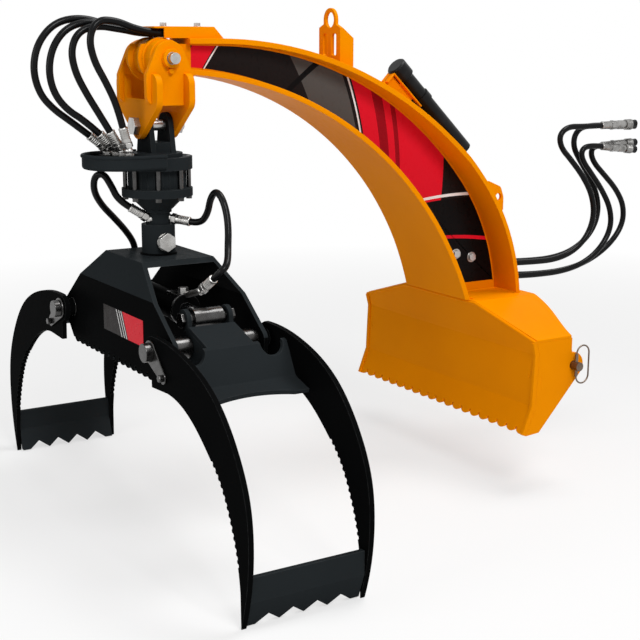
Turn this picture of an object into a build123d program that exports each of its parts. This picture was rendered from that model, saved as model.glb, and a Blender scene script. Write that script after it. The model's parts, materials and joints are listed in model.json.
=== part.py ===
"""Log grapple for a tractor's three-point hitch: a curved boom on a toothed base, with a hanger,
a rotator and a two-claw head that one cylinder opens and closes. Millimetres, +Z up. The origin is
halfway between the two lower hitch pins, +X points to the grapple and +Y to the boom's left side."""
import os
from math import acos, asin, atan2, cos, pi, radians, sin, sqrt, tan

from build123d import *

# Clearances and allowances
slide_gap = 0.3          # between pieces that move past each other
fit_gap = 0.1            # between a fixed pin and its hole
overrun = 40.0           # how far a cutter runs past what it cuts

# Base: a bent blade, two side plates, two inner ears and a sloping cover
base_half_width = 360.0
side_plate = 10.0
blade_plate = 8.0
cover_plate = 7.0
ridge_half_width = 150.0
ridge_x = 143.0
ridge_z = 131.0
corner_x = 119.5
corner_z = 69.0
fold_x = 118.5
fold_z = 38.0
knee_x = 124.3
knee_z = -88.0
lip_x = 150.7
lip_z = -157.0
blade_tooth_pitch = 36.0
blade_tooth_round_share = 7 / 12
blade_notch_r = 4.0
cover_rear_x = -54.0
cover_rear_half_width = 120.0
cover_shoulder_x = 9.0
cover_curve_shares = ((0.22, 0.05), (0.46, 0.27), (0.70, 0.62), (0.86, 0.85))
tab_length = 46.0
tab_width = 7.0
tab_depth = 1.6
tab_rise = -20.0
tab_inset = 22.0

# Lower hitch pins, one each side, in a 56 mm wide gap for the tractor's lower link
hitch_pin_r = 11.1
hitch_ear_r = 32.0
link_gap = 56.0
ear_shoulder_x = 6.0
ear_shoulder_z = 41.0
ear_foot_x = 103.0
inner_ear_foot_z = -84.0
pin_nut_across = 34.0
pin_nut_high = 12.0
pin_end_out = 24.0
linch_out = 11.0
linch_r = 4.0
linch_up = 30.0
linch_down = 26.0
ring_wire_r = 2.0
ring_high = 95.0
ring_wide = 40.0

# Boom: two curved flanges on two webs
flange_plate = 12.0
flange_tip_x = 876.0
flange_tip_z = 713.6992
inner_foot_x = 143.2658
inner_arc_r = 814.0
outer_top_z = 780.0
outer_arc_x = 804.7
outer_arc_r = 910.9
outer_arc_turn = 52.1
outer_base_r = 553.4
flange_tip_half = 52.0
inner_base_half = 130.0
outer_base_half = 120.0
flange_steps = 6
web_outer_y = 31.0
web_plate = 8.0
web_tip_r = 52.0
tip_tube_r = 40.0
tip_tube_half = 65.0

# Cover over the hoses on top of the boom's tip
cover_sheet = 4.0
hose_cover_half = 42.0
hose_cover_top_z = 805.0
hose_cover_tip_x = 955.0
hose_cover_wall_tip_x = 916.0
hose_cover_knee_x = 789.0
hose_cover_rear_x = 766.0
hose_cover_foot = 6.0

# Lifting plate: an eye plate with two windows and a swept flange each side
lift_face_x = 485.0
lift_half = 47.0
lift_plate = 8.0
lift_shoulder_z = 806.0
lift_eye_z = 824.0
lift_eye_r = 18.0
lift_eye_rim = 27.0
lift_window_y = 19.0
lift_window_wide = 19.0
lift_window_low_z = 742.0
lift_window_high_z = 792.0
lift_foot_z = 666.0
lift_flange_deep = 38.0
lift_flange_drop = 24.0

# Top link ears
top_ear_inner_y = 26.0
top_ear_plate = 10.0
top_hole_out = 68.4533
top_hole_z = 379.0
top_hole_r = 9.75
top_ear_r = 27.0
top_ear_high = 43.0
top_ear_low = 35.0
top_ear_brow = 32.0
top_ear_sole = 17.0

# Document tube behind the boom, its clamp and its cap
tube_low_x = 74.0
tube_low_out = 57.7544
tube_high_x = 294.0
tube_high_out = 79.7794
tube_r = 19.5
tube_cap_r = 25.0
tube_cap_long = 44.0
tube_clamp_share = 0.62
tube_clamp_long = 22.0
tube_clamp_wall = 3.0
tube_post_long = 44.0
tube_post_plate = 8.0
tube_bolt_r = 7.0
tube_bolt_out = 7.0

# Boom tip pin and hanger plates
tip_x = 938.0
tip_z = 738.0
tip_pin_r = 12.2
tip_pin_half = 108.0
hanger_plate = 14.0
hanger_side_y = 80.0
hanger_top_r = 37.0
hanger_half_wide = 56.0
hanger_shoulder_z = 702.0
hanger_side_low_z = 638.0
hanger_side_round = 22.0
collar_r = 20.0
collar_long = 13.0
lock_r = 5.5
lock_out = 9.0
lock_drop = 27.0
cross_out_x = 45.0
cross_half_wide = 108.0
cross_leg_inner_y = 56.0
cross_leg_top_z = 706.0
cross_valley_z = 651.0
cross_taper_z = 638.0
cross_leg_round = 24.0
cross_lobe_r = 29.0
slot_mid_z = 672.0
hanger_bolt_z = 592.0
hanger_bolt_r = 12.0
bolt_head_across = 36.0
bolt_head_high = 14.0
bolt_end_out = 6.0

# Rotator: bracket, ribbed body between two flanges, cone, and the turning shaft below
bracket_out_x = 30.0
bracket_plate = 12.0
bracket_half = 40.0
bracket_eye_r = 28.0
bracket_foot_z = 533.0
bracket_foot_half = 58.0
bracket_block_half = 34.0
bracket_block_top_z = 556.0
flange_r = 79.0
flange_top_z = 525.0
flange_under_z = 497.0
low_flange_top_z = 455.0
low_flange_z = 437.0
body_r = 63.0
rib_count = 24
rib_r = 2.4
tie_count = 8
tie_circle_r = 70.5
tie_r = 5.0
tie_head_across = 12.8
tie_head_high = 8.0
cone_low_z = 407.0
cone_low_r = 33.0
ring_r = 31.0
ring_low_z = 400.0
shaft_r = 27.0
shaft_low_z = 318.0
shaft_spigot_r = 22.0
shaft_top_z = 490.0

# Hose guard: a dish with a rolled rim on the grapple's far side of the rotator
guard_floor_z = 504.5
guard_sheet = 3.5
guard_rim_z = 532.0
guard_half = 84.0
guard_reach = 170.0
guard_start = 10.0
guard_bead_r = 4.5

# Ports on the rotator and the ferrules of the four tip hoses
port_block_in = 66.0
port_block_out = 121.0
port_block_half = 47.0
port_block_low_z = 508.0
port_block_top_z = 529.0
ferrule_r = 10.5
ferrule_long = 34.0
nut_across = 24.0
nut_long = 11.0

# Head: a bent hood over the claws, the socket on it and the claw pivots in it
head_plate = 10.0
head_top_half = 87.0
head_top_z = 306.0
head_side_x = 110.0
head_fold_z = 238.0
head_top_half_y = 100.0
head_fold_y = 205.0
head_brow_y = 305.0
head_brow_z = 163.0
head_cheek_y = 302.0
head_cheek_z = 120.0
head_chin_y = 274.0
head_chin_z = 90.0
head_sole_y = 253.0
head_sole_z = 66.0
head_tooth_pitch = 29.76
head_tooth_round_share = 0.571146
head_tooth_notch = 5.0
socket_r = 37.5
socket_top_z = 374.0
socket_bolt_z = 336.0
socket_bolt_r = 10.0
socket_bolt_across = 37.0
socket_bolt_high = 13.0
pivot_y = 259.0
pivot_z = 148.0
pivot_r = 16.0
boss_r = 23.0
boss_in_x = 56.0
boss_out_x = 112.0

# Claws: two curved plates joined by a folded panel and a tooth bar, with ears for the cylinder
claw_in_x = 129.0
claw_plate = 12.0
claw_hub_r = 20.0
claw_tip_y = 636.0
claw_tip_z = -315.0
claw_eye_r = 33.0
claw_back_shares = ((0.162, 0.069), (0.374, 0.041), (0.719, -0.076), (0.936, -0.257),
                    (1.056, -0.449), (1.085, -0.622), (1.064, -0.816))
claw_jaw_shares = ((0.995, -0.838), (0.963, -0.708), (0.889, -0.555), (0.788, -0.423),
                   (0.653, -0.320), (0.480, -0.222), (0.188, -0.156))
claw_heel_share = (-0.008, -0.164)
claw_tooth_count = 15
claw_tooth_pitch = 14.5
claw_tooth_r = 4.2
claw_tooth_start = 52.0
ear_out_x = 54.0
ear_plate = 10.0
ear_pivot_r = 30.0
ear_pin_r = 23.0
rod_pin_y = 230.0
rod_pin_z = 200.0
rod_pin_r = 12.5
panel_plate = 9.0
panel_start_y = 257.0
panel_start_z = 190.0
panel_brow_y = 349.0
panel_brow_z = 160.0
panel_fold_y = 388.0
panel_fold_z = 90.0
panel_lip_y = 442.0
panel_lip_z = 75.0
panel_cut_r = 300.0
panel_cut_half = 96.0
panel_cut_deep = 18.0
panel_corner_r = 27.0
bar_top_y = 652.0
bar_top_z = -207.0
bar_fold_z = -258.0
bar_tip_y = 632.0
bar_tip_z = -312.0
bar_plate = 12.0
bar_notches = 4
bar_notch_deep = 22.0
bar_notch_half = 18.0
stub_in_x = 41.0
cap_r = 20.0
cap_out_x = 161.0
flag_plate = 5.0
flag_drop = 42.0
flag_out = 60.0
flag_end_r = 13.0
flag_bolt_r = 7.0
flag_bolt_out = 9.0
rod_pin_out = 62.0
rod_pin_head_across = 30.0
rod_pin_head_high = 9.0

# Cylinder between the claws
barrel_r = 31.0
barrel_bore_r = 25.0
barrel_eye_half = 34.0
barrel_eye_r = 22.0
barrel_start = 34.0
barrel_base = 14.0
barrel_neck_high = 33.0
gland_y = 135.0
gland_long = 36.0
gland_r = 34.0
rod_r = 15.0
piston_y = -150.0
piston_long = 30.0
rod_eye_half = 34.0
rod_eye_r = 22.0
port_start_y = 70.0
port_end_y = 134.0
port_half = 17.0
port_top_z = 233.0
rear_port_y = -130.0
rear_port_long = 40.0

# Hoses, and the fittings on their ends
hose_r = 7.75
elbow_r = 9.5
elbow_stub_r = 7.5
elbow_reach = 8.0
coupler_r = 13.0
coupler_sleeve_r = 14.0
coupler_body_long = 45.0
coupler_sleeve_long = 22.0
coupler_cap_long = 18.0

# Bolts on the boom
web_bolt_across = 19.0
web_bolt_high = 8.0
web_bolts = ((104.3212, 229.0), (141.8721, 250.0))
cover_bolt_shares = (0.35, 0.80)
cover_bolt_r = 5.0
cover_bolt_high = 4.0

# Hose routes, chosen by hand
tip_route_1 = [(815, -25, 791), (888, -25, 790), (968, -25, 790), (1034, -26, 808), (1094, -27, 823),
               (1152, -28, 812), (1191, -29, 770), (1204, -30, 716), (1191, -31, 664), (1160, -32, 630),
               (1120, -33, 602), (1082, -33, 573)]
tip_route_2 = [(815, -8, 791), (888, -8, 790), (964, -8, 790), (1026, -8, 804), (1084, -9, 815),
               (1134, -9, 801), (1166, -10, 762), (1177, -10, 712), (1166, -11, 664), (1137, -11, 629),
               (1101, -11, 607), (1067, -11, 577)]
tip_route_3 = [(815, 8, 791), (885, 8, 790), (958, 8, 790), (1018, 8, 798), (1071, 9, 806), (1114, 9, 794),
               (1133, 9, 757), (1126, 10, 710), (1102, 10, 664), (1076, 11, 622), (1052, 11, 583)]
tip_route_4 = [(815, 25, 791), (880, 25, 790), (940, 25, 790), (992, 26, 799), (1037, 27, 816),
               (1080, 28, 817), (1100, 29, 781), (1091, 30, 733), (1064, 31, 685), (1042, 32, 637),
               (1031, 33, 592)]
rear_route_1 = [(30, 15, 196), (-75, 15, 196), (-160, 16, 192), (-240, 15, 191), (-308, 15, 208),
                (-358, 15, 247), (-380, 15, 302), (-368, 15, 362), (-330, 15, 416), (-284, 15, 462),
                (-246, 15, 496), (-238, 15, 530), (-268, 15, 552), (-325, 15, 550), (-389, 15, 551)]
rear_route_2 = [(30, -15, 196), (-78, -15, 196), (-170, -16, 190), (-260, -15, 190),
                (-335, -15, 206), (-394, -15, 243), (-424, -15, 296), (-418, -15, 352), (-384, -15, 408),
                (-344, -15, 456), (-318, -15, 494), (-322, -15, 530), (-356, -15, 551), (-419, -15, 549)]
rear_route_3 = [(30, 15, 160), (-78, 15, 160), (-175, 15, 155), (-270, 15, 156), (-350, 15, 172),
                (-412, 15, 210), (-447, 15, 264), (-440, 15, 320), (-404, 15, 374), (-362, 15, 420),
                (-326, 15, 458), (-320, 15, 486), (-346, 15, 499), (-394, 15, 494)]
rear_route_4 = [(30, -15, 160), (-80, -15, 160), (-190, -15, 151), (-300, -15, 151),
                (-392, -15, 168), (-472, -15, 208), (-521, -15, 262), (-522, -15, 318), (-488, -15, 368),
                (-438, -15, 412), (-398, -15, 446), (-384, -15, 474), (-394, -15, 492), (-424, -15, 493)]
lower_route_left = [(1003, -6, 414), (1027, -13, 430), (1038, -24, 462), (1050, -38, 489), (1065, -54, 481),
                    (1062, -68, 446), (1038, -82, 412), (1004, -95, 380), (974, -107, 350), (951, -119, 323),
                    (940, -127, 301), (938, -130, 277)]
lower_route_right = [(884, 54, 380), (869, 73, 377), (861, 94, 401), (864, 114, 437), (862, 136, 456),
                     (858, 158, 443), (856, 175, 411), (861, 191, 376), (872, 209, 344), (884, 231, 322),
                     (897, 247, 308), (912, 247, 296), (917, 228, 281)]
rear_start_x = rear_route_1[0][0]
arc_share = 0.45

# Flat drawings: "x" is drawn in (Y, Z), "y" in (X, Z) and "z" in (X, Y), and each is pushed along its letter
along = {"x": Vector(1, 0, 0), "y": Vector(0, 1, 0), "z": Vector(0, 0, 1)}


def spot(axis, a, b, height=0.0):
    if axis == "x":
        return Vector(height, a, b)
    if axis == "y":
        return Vector(a, height, b)
    return Vector(a, b, height)


def push(edges, axis, low, high):
    """Solid between two heights over a closed drawing."""
    face = make_face(edges).moved(Location(along[axis] * low))
    return extrude(face, amount=high - low, dir=along[axis])


def loop(axis, points, radii=0.0):
    """Closed outline with each corner rounded by its radius."""
    count = len(points)
    sizes = radii if isinstance(radii, (list, tuple)) else [radii] * count
    marks = []
    for index, point in enumerate(points):
        here = spot(axis, *point)
        back = (spot(axis, *points[index - 1]) - here).normalized()
        ahead = (spot(axis, *points[(index + 1) % count]) - here).normalized()
        if sizes[index] == 0:
            marks.append((here, None, here))
            continue
        half = radians(back.get_angle(ahead)) / 2
        centre = here + (back + ahead).normalized() * (sizes[index] / sin(half))
        reach = sizes[index] / tan(half)
        middle = centre + (here - centre).normalized() * sizes[index]
        marks.append((here + back * reach, middle, here + ahead * reach))
    edges = []
    for index, (start, middle, end) in enumerate(marks):
        before = marks[index - 1][2]
        if (start - before).length > fit_gap / 10:
            edges.append(Line(before, start))
        if middle is not None:
            edges.append(ThreePointArc(start, middle, end))
    return edges


def plate(axis, points, low, high, radii=0.0):
    return push(loop(axis, points, radii), axis, low, high)


def bar(axis, a, b, low, high, radius):
    """Round bar along an axis, from one height to another."""
    return Pos(spot(axis, a, b)) * Part(Solid.make_cylinder(
        radius, high - low, Plane(origin=along[axis] * low, z_dir=along[axis])).wrapped)


def sleeve(axis, a, b, low, high, outer, inner):
    return bar(axis, a, b, low, high, outer) - bar(axis, a, b, low - overrun, high + overrun, inner)


def hexagon(axis, a, b, low, high, across):
    corner = across / sqrt(3)
    turns = [pi / 3 * index for index in range(6)]
    return plate(axis, [(a + corner * cos(turn), b + corner * sin(turn)) for turn in turns], low, high)


def between(start, end, radius):
    """Round bar from one point to another."""
    line = end - start
    return Part(Solid.make_cylinder(radius, line.length, Plane(origin=start, z_dir=line.normalized())).wrapped)


def parallel(points, gap):
    """The same open line set off to its right by the gap, with mitred corners."""
    normals = []
    for (a0, b0), (a1, b1) in zip(points, points[1:]):
        length = sqrt((a1 - a0) ** 2 + (b1 - b0) ** 2)
        normals.append(((b1 - b0) / length, (a0 - a1) / length))
    moved = []
    for index, (a, b) in enumerate(points):
        first = normals[max(index - 1, 0)]
        second = normals[min(index, len(normals) - 1)]
        grow = gap / (1 + first[0] * second[0] + first[1] * second[1])
        moved.append((a + (first[0] + second[0]) * grow, b + (first[1] + second[1]) * grow))
    return moved


def folded(points, thick):
    """Closed outline of a sheet folded along a line."""
    return points + parallel(points, thick)[::-1]


def tangent(a, b, centre_a, centre_b, radius, side):
    """Point where the line from (a, b) touches the circle, on one side or the other."""
    reach = sqrt((a - centre_a) ** 2 + (b - centre_b) ** 2)
    turn = atan2(b - centre_b, a - centre_a) + side * acos(radius / reach)
    return centre_a + radius * cos(turn), centre_b + radius * sin(turn)


def flip(shape, about=Plane.XZ):
    return mirror(shape, about=about)


def group(*shapes):
    """Several pieces that share one node."""
    solids = []
    for shape in shapes:
        solids.extend(shape.solids())
    return Compound(children=solids)


def both_sides(shape, about=Plane.XZ):
    return group(shape, flip(shape, about))


# Base
def under_cover():
    points = [(base_half_width, corner_z), (ridge_half_width, ridge_z), (-ridge_half_width, ridge_z),
              (-base_half_width, corner_z), (-base_half_width, lip_z - overrun), (base_half_width, lip_z - overrun)]
    return plate("x", points, cover_rear_x - overrun, lip_x + overrun)


def scallops(width, low_z, count, round_share, notch_r, low_x, high_x):
    """Cutter that leaves a row of round teeth along a lower edge, with a small round notch between them.
    The teeth's round is a share of their pitch."""
    pitch = width / count
    round_r = pitch * round_share
    valley = round_r - sqrt(round_r ** 2 - (pitch / 2) ** 2)
    half = width / 2 + overrun
    drawing = [(-half, low_z - overrun), (half, low_z - overrun), (half, low_z + valley), (-half, low_z + valley)]
    cutter = plate("x", drawing, low_x, high_x)
    middles = [(index + 0.5) * pitch - width / 2 for index in range(count)]
    cutter -= [bar("x", middle, low_z + round_r, low_x, high_x, round_r) for middle in middles]
    return cutter + [bar("x", middle + pitch / 2, low_z + valley, low_x, high_x, notch_r) for middle in middles[:-1]]


def blade_front():
    return [(ridge_x, ridge_z), (fold_x, fold_z), (knee_x, knee_z), (lip_x, lip_z)]


def inner_ear_y():
    """Outer face of the inner ear on one side."""
    return base_half_width - side_plate - link_gap


def blade():
    sheet = plate("y", folded(blade_front(), blade_plate), -base_half_width, base_half_width) & under_cover()
    teeth = round(2 * base_half_width / blade_tooth_pitch)
    sheet -= scallops(2 * base_half_width, lip_z, teeth, blade_tooth_round_share, blade_notch_r,
                      knee_x - overrun, lip_x + overrun)
    tab_y = base_half_width - tab_inset
    for side in (-1, 1):
        near = side * tab_y - tab_width / 2
        away = side * tab_y + tab_width / 2
        slot = [(near, tab_rise), (away, tab_rise), (away, tab_rise + tab_length), (near, tab_rise + tab_length)]
        sheet -= plate("x", slot, (fold_x + knee_x) / 2 - tab_depth, knee_x + overrun)
    return sheet


def ear_drawing(front, foot_z, toe):
    """Outline of a plate that holds the hitch pin: blade side, cover side and the round ear."""
    touch = tangent(ear_foot_x, foot_z, 0.0, 0.0, hitch_ear_r, -1)
    return front[:3] + toe + [(ear_foot_x, foot_z), touch, (0.0, 0.0),
                              (ear_shoulder_x, ear_shoulder_z), (ear_shoulder_x, ridge_z)]


def pin_ear(drawing, near_y, far_y):
    ear = plate("y", drawing, near_y, far_y) + bar("y", 0.0, 0.0, near_y, far_y, hitch_ear_r)
    ear -= bar("y", 0.0, 0.0, near_y - overrun, far_y + overrun, hitch_pin_r + fit_gap)
    return both_sides(ear & under_cover())


def side_plates():
    back = parallel(blade_front(), blade_plate)
    return pin_ear(ear_drawing(back, lip_z, back[3:]), base_half_width - side_plate, base_half_width)


def hitch_ears():
    back = parallel(blade_front(), blade_plate)
    return pin_ear(ear_drawing(back, inner_ear_foot_z, []), inner_ear_y() - side_plate, inner_ear_y())


def top_cover():
    section = [(base_half_width, corner_z), (ridge_half_width, ridge_z), (-ridge_half_width, ridge_z),
               (-base_half_width, corner_z)]
    roof = section + [(y, z + cover_plate) for y, z in section[::-1]]
    sheet = plate("x", roof, cover_rear_x - overrun, ridge_x + overrun)
    deep = cover_shoulder_x - cover_rear_x
    wide = base_half_width - cover_rear_half_width
    rear = [(cover_rear_x, cover_rear_half_width)]
    rear += [(cover_rear_x + deep * x_share, cover_rear_half_width + wide * y_share)
             for y_share, x_share in cover_curve_shares]
    rear += [(cover_shoulder_x, base_half_width)]
    left = Spline([spot("z", x, y) for x, y in rear])
    right = Spline([spot("z", x, -y) for x, y in rear])
    front = [(cover_shoulder_x, base_half_width), (corner_x, base_half_width), (ridge_x, ridge_half_width),
             (ridge_x, -ridge_half_width), (corner_x, -base_half_width), (cover_shoulder_x, -base_half_width)]
    edges = [left, right, Line(spot("z", *rear[0]), spot("z", rear[0][0], -rear[0][1]))]
    edges += [Line(spot("z", *start), spot("z", *end)) for start, end in zip(front, front[1:])]
    return sheet & push(edges, "z", corner_z - overrun, ridge_z + cover_plate + overrun)


def hitch_pins():
    inner_y = inner_ear_y() - side_plate
    end_y = base_half_width + pin_end_out
    linch_y = base_half_width + linch_out
    pin = bar("y", 0.0, 0.0, inner_y - pin_nut_high, end_y, hitch_pin_r)
    pin += hexagon("y", 0.0, 0.0, inner_y - pin_nut_high, inner_y, pin_nut_across)
    pin -= bar("z", 0.0, linch_y, -hitch_ear_r, hitch_ear_r, linch_r + fit_gap)
    linch = bar("z", 0.0, linch_y, -linch_down, linch_up, linch_r)
    return group(pin, flip(pin), linch, flip(linch))


def ring(side):
    """Bent wire ring whose two ends run into the linch pin's ends, on the pin's own axis."""
    linch_y = side * (base_half_width + linch_out)
    middle = (linch_up - linch_down) / 2
    bend = ring_wide / 2
    high = middle + ring_high / 2 - bend
    low = middle - ring_high / 2 + bend
    path = [Line((0, linch_y, linch_up + slide_gap), (0, linch_y, high)),
            ThreePointArc((0, linch_y, high), (-bend, linch_y, high + bend), (-ring_wide, linch_y, high)),
            Line((-ring_wide, linch_y, high), (-ring_wide, linch_y, low)),
            ThreePointArc((-ring_wide, linch_y, low), (-bend, linch_y, low - bend), (0, linch_y, low)),
            Line((0, linch_y, low), (0, linch_y, -linch_down - slide_gap))]
    end = Plane(origin=(0, linch_y, linch_up + slide_gap), z_dir=(0, 0, 1))
    return sweep(end * Circle(ring_wire_r), path=Wire(path))


# Boom
def arc_spot(centre_x, centre_z, radius, turn):
    """Point on a circle in the boom's side view, at a turn back from straight up."""
    return Vector(centre_x - radius * sin(turn), 0, centre_z + radius * cos(turn))


def boom_base_z():
    return ridge_z + cover_plate


def outer_centres():
    """Side view of the outer flange's two arcs: the large one's centre Z, the small one's centre X and Z."""
    turn = radians(outer_arc_turn)
    shift = outer_arc_r - outer_base_r
    big_z = outer_top_z - outer_arc_r
    return big_z, outer_arc_x - shift * sin(turn), big_z + shift * cos(turn)


def outer_line(depth):
    """Edges of the outer flange's line, set in by a depth, from the tip to the cover."""
    big_z, small_x, small_z = outer_centres()
    big_r = outer_arc_r - depth
    small_r = outer_base_r - depth
    turn = radians(outer_arc_turn)
    end = acos((boom_base_z() - small_z) / small_r)
    start = arc_spot(outer_arc_x, big_z, big_r, 0.0)
    knee = arc_spot(outer_arc_x, big_z, big_r, turn)
    foot = arc_spot(small_x, small_z, small_r, end)
    return [ThreePointArc(start, arc_spot(outer_arc_x, big_z, big_r, turn / 2), knee),
            ThreePointArc(knee, arc_spot(small_x, small_z, small_r, (turn + end) / 2), foot)], start, foot


def inner_centre():
    """Centre of the inner flange's arc, which runs from the foot at the cover to the tip."""
    run = flange_tip_x - inner_foot_x
    rise = flange_tip_z - boom_base_z()
    span = sqrt(run ** 2 + rise ** 2)
    drop = sqrt(inner_arc_r ** 2 - (span / 2) ** 2)
    middle_x = (flange_tip_x + inner_foot_x) / 2
    middle_z = (flange_tip_z + boom_base_z()) / 2
    return middle_x + drop * rise / span, middle_z - drop * run / span


def inner_line(radius, tip):
    """The inner flange's arc, from the tip's X to the cover."""
    centre_x, centre_z = inner_centre()
    first = asin((centre_x - tip) / radius)
    last = acos((boom_base_z() - centre_z) / radius)
    start = arc_spot(centre_x, centre_z, radius, first)
    foot = arc_spot(centre_x, centre_z, radius, last)
    return ThreePointArc(start, arc_spot(centre_x, centre_z, radius, (first + last) / 2), foot), start, foot


def widths(base_half):
    """Plan of a flange that widens evenly along its length from the tip to the base."""
    centre_x, centre_z = inner_centre()
    first = asin((centre_x - flange_tip_x) / inner_arc_r)
    last = acos((boom_base_z() - centre_z) / inner_arc_r)
    side = []
    for step in range(flange_steps + 1):
        share = step / flange_steps
        x = centre_x - inner_arc_r * sin(first + (last - first) * share)
        side.append((x, flange_tip_half + (base_half - flange_tip_half) * share))
    side.append((-outer_arc_x, base_half))
    points = side + [(x, -y) for x, y in side[::-1]]
    return plate("z", points, 0.0, outer_top_z + overrun)


def boom_inner_flange():
    upper, upper_tip, upper_foot = inner_line(inner_arc_r, flange_tip_x)
    lower, lower_tip, lower_foot = inner_line(inner_arc_r - flange_plate, flange_tip_x)
    edges = [upper, Line(upper_foot, lower_foot), lower, Line(lower_tip, upper_tip)]
    return push(edges, "y", -inner_base_half, inner_base_half) & widths(inner_base_half)


def boom_outer_flange():
    outer, outer_tip, outer_foot = outer_line(0.0)
    inner, inner_tip, inner_foot = outer_line(flange_plate)
    high = Vector(flange_tip_x, 0, outer_top_z)
    low = Vector(flange_tip_x, 0, outer_top_z - flange_plate)
    edges = outer + inner + [Line(outer_foot, inner_foot), Line(outer_tip, high), Line(high, low),
                             Line(low, inner_tip)]
    flange = push(edges, "y", -outer_base_half, outer_base_half) & widths(outer_base_half)
    for route in rear_routes():
        flange -= bar("x", route[0][1], route[0][2], -outer_arc_x, inner_foot_x, hose_r + slide_gap)
    return flange


def boom_webs():
    outer, outer_tip, outer_foot = outer_line(flange_plate)
    end_x = tip_x - tip_tube_r / 2
    under_z = outer_top_z - flange_plate
    inner, inner_tip, inner_foot = inner_line(inner_arc_r, end_x)
    corner = Vector(end_x, 0, under_z)
    edges = outer + [Line(outer_foot, inner_foot), inner, Line(inner_tip, corner), Line(corner, outer_tip)]
    web = push(edges, "y", web_outer_y - web_plate, web_outer_y)
    tip = bar("y", tip_x, tip_z, web_outer_y - web_plate, web_outer_y, web_tip_r)
    near = tip_x - web_tip_r - overrun
    away = tip_x + web_tip_r + overrun
    above = [(near, under_z), (away, under_z), (away, outer_top_z + overrun), (near, outer_top_z + overrun)]
    web += tip - plate("y", above, 0.0, web_outer_y + overrun)
    web -= bar("y", tip_x, tip_z, 0.0, web_outer_y + overrun, tip_tube_r + fit_gap / 2)
    return both_sides(web)


def tip_tube():
    return sleeve("y", tip_x, tip_z, -tip_tube_half, tip_tube_half, tip_tube_r, tip_pin_r + fit_gap)


def hose_cover():
    under_z = hose_cover_top_z - cover_sheet
    top = [(hose_cover_rear_x, outer_top_z), (hose_cover_knee_x, hose_cover_top_z),
           (hose_cover_tip_x, hose_cover_top_z)]
    under = [(hose_cover_tip_x, under_z), (hose_cover_knee_x + cover_sheet / 2, under_z),
             (hose_cover_rear_x + hose_cover_foot, outer_top_z)]
    roof = plate("y", top + under, -hose_cover_half, hose_cover_half)
    side = [(hose_cover_rear_x, outer_top_z), (hose_cover_knee_x, under_z), (hose_cover_wall_tip_x, under_z),
            (flange_tip_x, outer_top_z)]
    wall = plate("y", side, hose_cover_half - cover_sheet, hose_cover_half)
    return roof + wall + flip(wall)


# Fittings on the boom
def lifting_plate():
    front = lift_face_x
    back = lift_face_x - lift_plate
    low = lift_foot_z
    rim_z = lift_shoulder_z + lift_plate
    half = [(lift_half, low), (lift_half, lift_shoulder_z), (lift_eye_rim, rim_z), (lift_eye_rim, lift_eye_z)]
    face = plate("x", half + [(-y, z) for y, z in half[::-1]], back, front)
    face += bar("x", 0.0, lift_eye_z, back, front, lift_eye_rim)
    face -= bar("x", 0.0, lift_eye_z, back - overrun, front + overrun, lift_eye_r)
    for side in (-1, 1):
        near = side * lift_window_y - lift_window_wide / 2
        away = side * lift_window_y + lift_window_wide / 2
        window = [(near, lift_window_low_z), (away, lift_window_low_z),
                  (away, lift_window_high_z), (near, lift_window_high_z)]
        face -= plate("x", window, back - overrun, front + overrun, lift_window_wide / 4)
    rear = front - lift_flange_deep
    sweep_points = [(back, low), (back, lift_shoulder_z), (rear, lift_shoulder_z - lift_flange_drop), (rear, low)]
    flange = plate("y", sweep_points, lift_half - lift_plate, lift_half)
    whole = face + flange + flip(flange)
    reach = lift_half + overrun
    return whole - bar("y", outer_arc_x, outer_centres()[0], -reach, reach, outer_arc_r)


def top_link_ears():
    lines, start, foot = outer_line(0.0)
    small_x, small_z = outer_centres()[1:]
    edge_x = small_x - sqrt(outer_base_r ** 2 - (top_hole_z - small_z) ** 2)
    hole_x = edge_x - top_hole_out
    sole_x = hole_x - top_ear_sole
    rear_x = outer_arc_x / 4
    low_z = top_hole_z - top_ear_low
    high_z = top_hole_z + top_ear_high
    points = [(hole_x + top_ear_brow, high_z), (hole_x - top_ear_r / 4, top_hole_z + top_ear_r),
              (sole_x, top_hole_z), (sole_x, low_z), (rear_x, low_z), (rear_x, high_z)]
    radii = [0.0, top_ear_r / 2, top_ear_r, 0.0, 0.0, 0.0]
    ear = plate("y", points, top_ear_inner_y, top_ear_inner_y + top_ear_plate, radii)
    ear -= bar("y", hole_x, top_hole_z, 0.0, top_ear_inner_y + overrun, top_hole_r)
    corner = Vector(foot.X + outer_arc_x, 0, foot.Z)
    top = Vector(foot.X + outer_arc_x, 0, start.Z)
    lines += [Line(foot, corner), Line(corner, top), Line(top, start)]
    return both_sides(ear - push(lines, "y", 0.0, top_ear_inner_y + overrun))


def above_arc(x, out):
    """Height of the point at an X that stands out from the outer flange's large arc."""
    return outer_centres()[0] + sqrt((outer_arc_r + out) ** 2 - (x - outer_arc_x) ** 2)


def tube_spot(share, off=0.0):
    """Point along the document tube's axis, and off it towards the boom."""
    low = Vector(tube_low_x, 0, above_arc(tube_low_x, tube_low_out))
    line = Vector(tube_high_x, 0, above_arc(tube_high_x, tube_high_out)) - low
    side = Vector(line.Z, 0, -line.X).normalized()
    return low + line * share + side * off


def cap_start_share():
    return 1 - tube_cap_long / (tube_spot(1.0) - tube_spot(0.0)).length


def manual_tube():
    return between(tube_spot(0.0), tube_spot(cap_start_share()), tube_r)


def tube_cap():
    aim = (tube_spot(1.0) - tube_spot(0.0)).normalized()
    cap = between(tube_spot(cap_start_share()) + aim * slide_gap, tube_spot(1.0), tube_cap_r)
    return chamfer(cap.edges().filter_by(GeomType.CIRCLE), cover_sheet)


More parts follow.
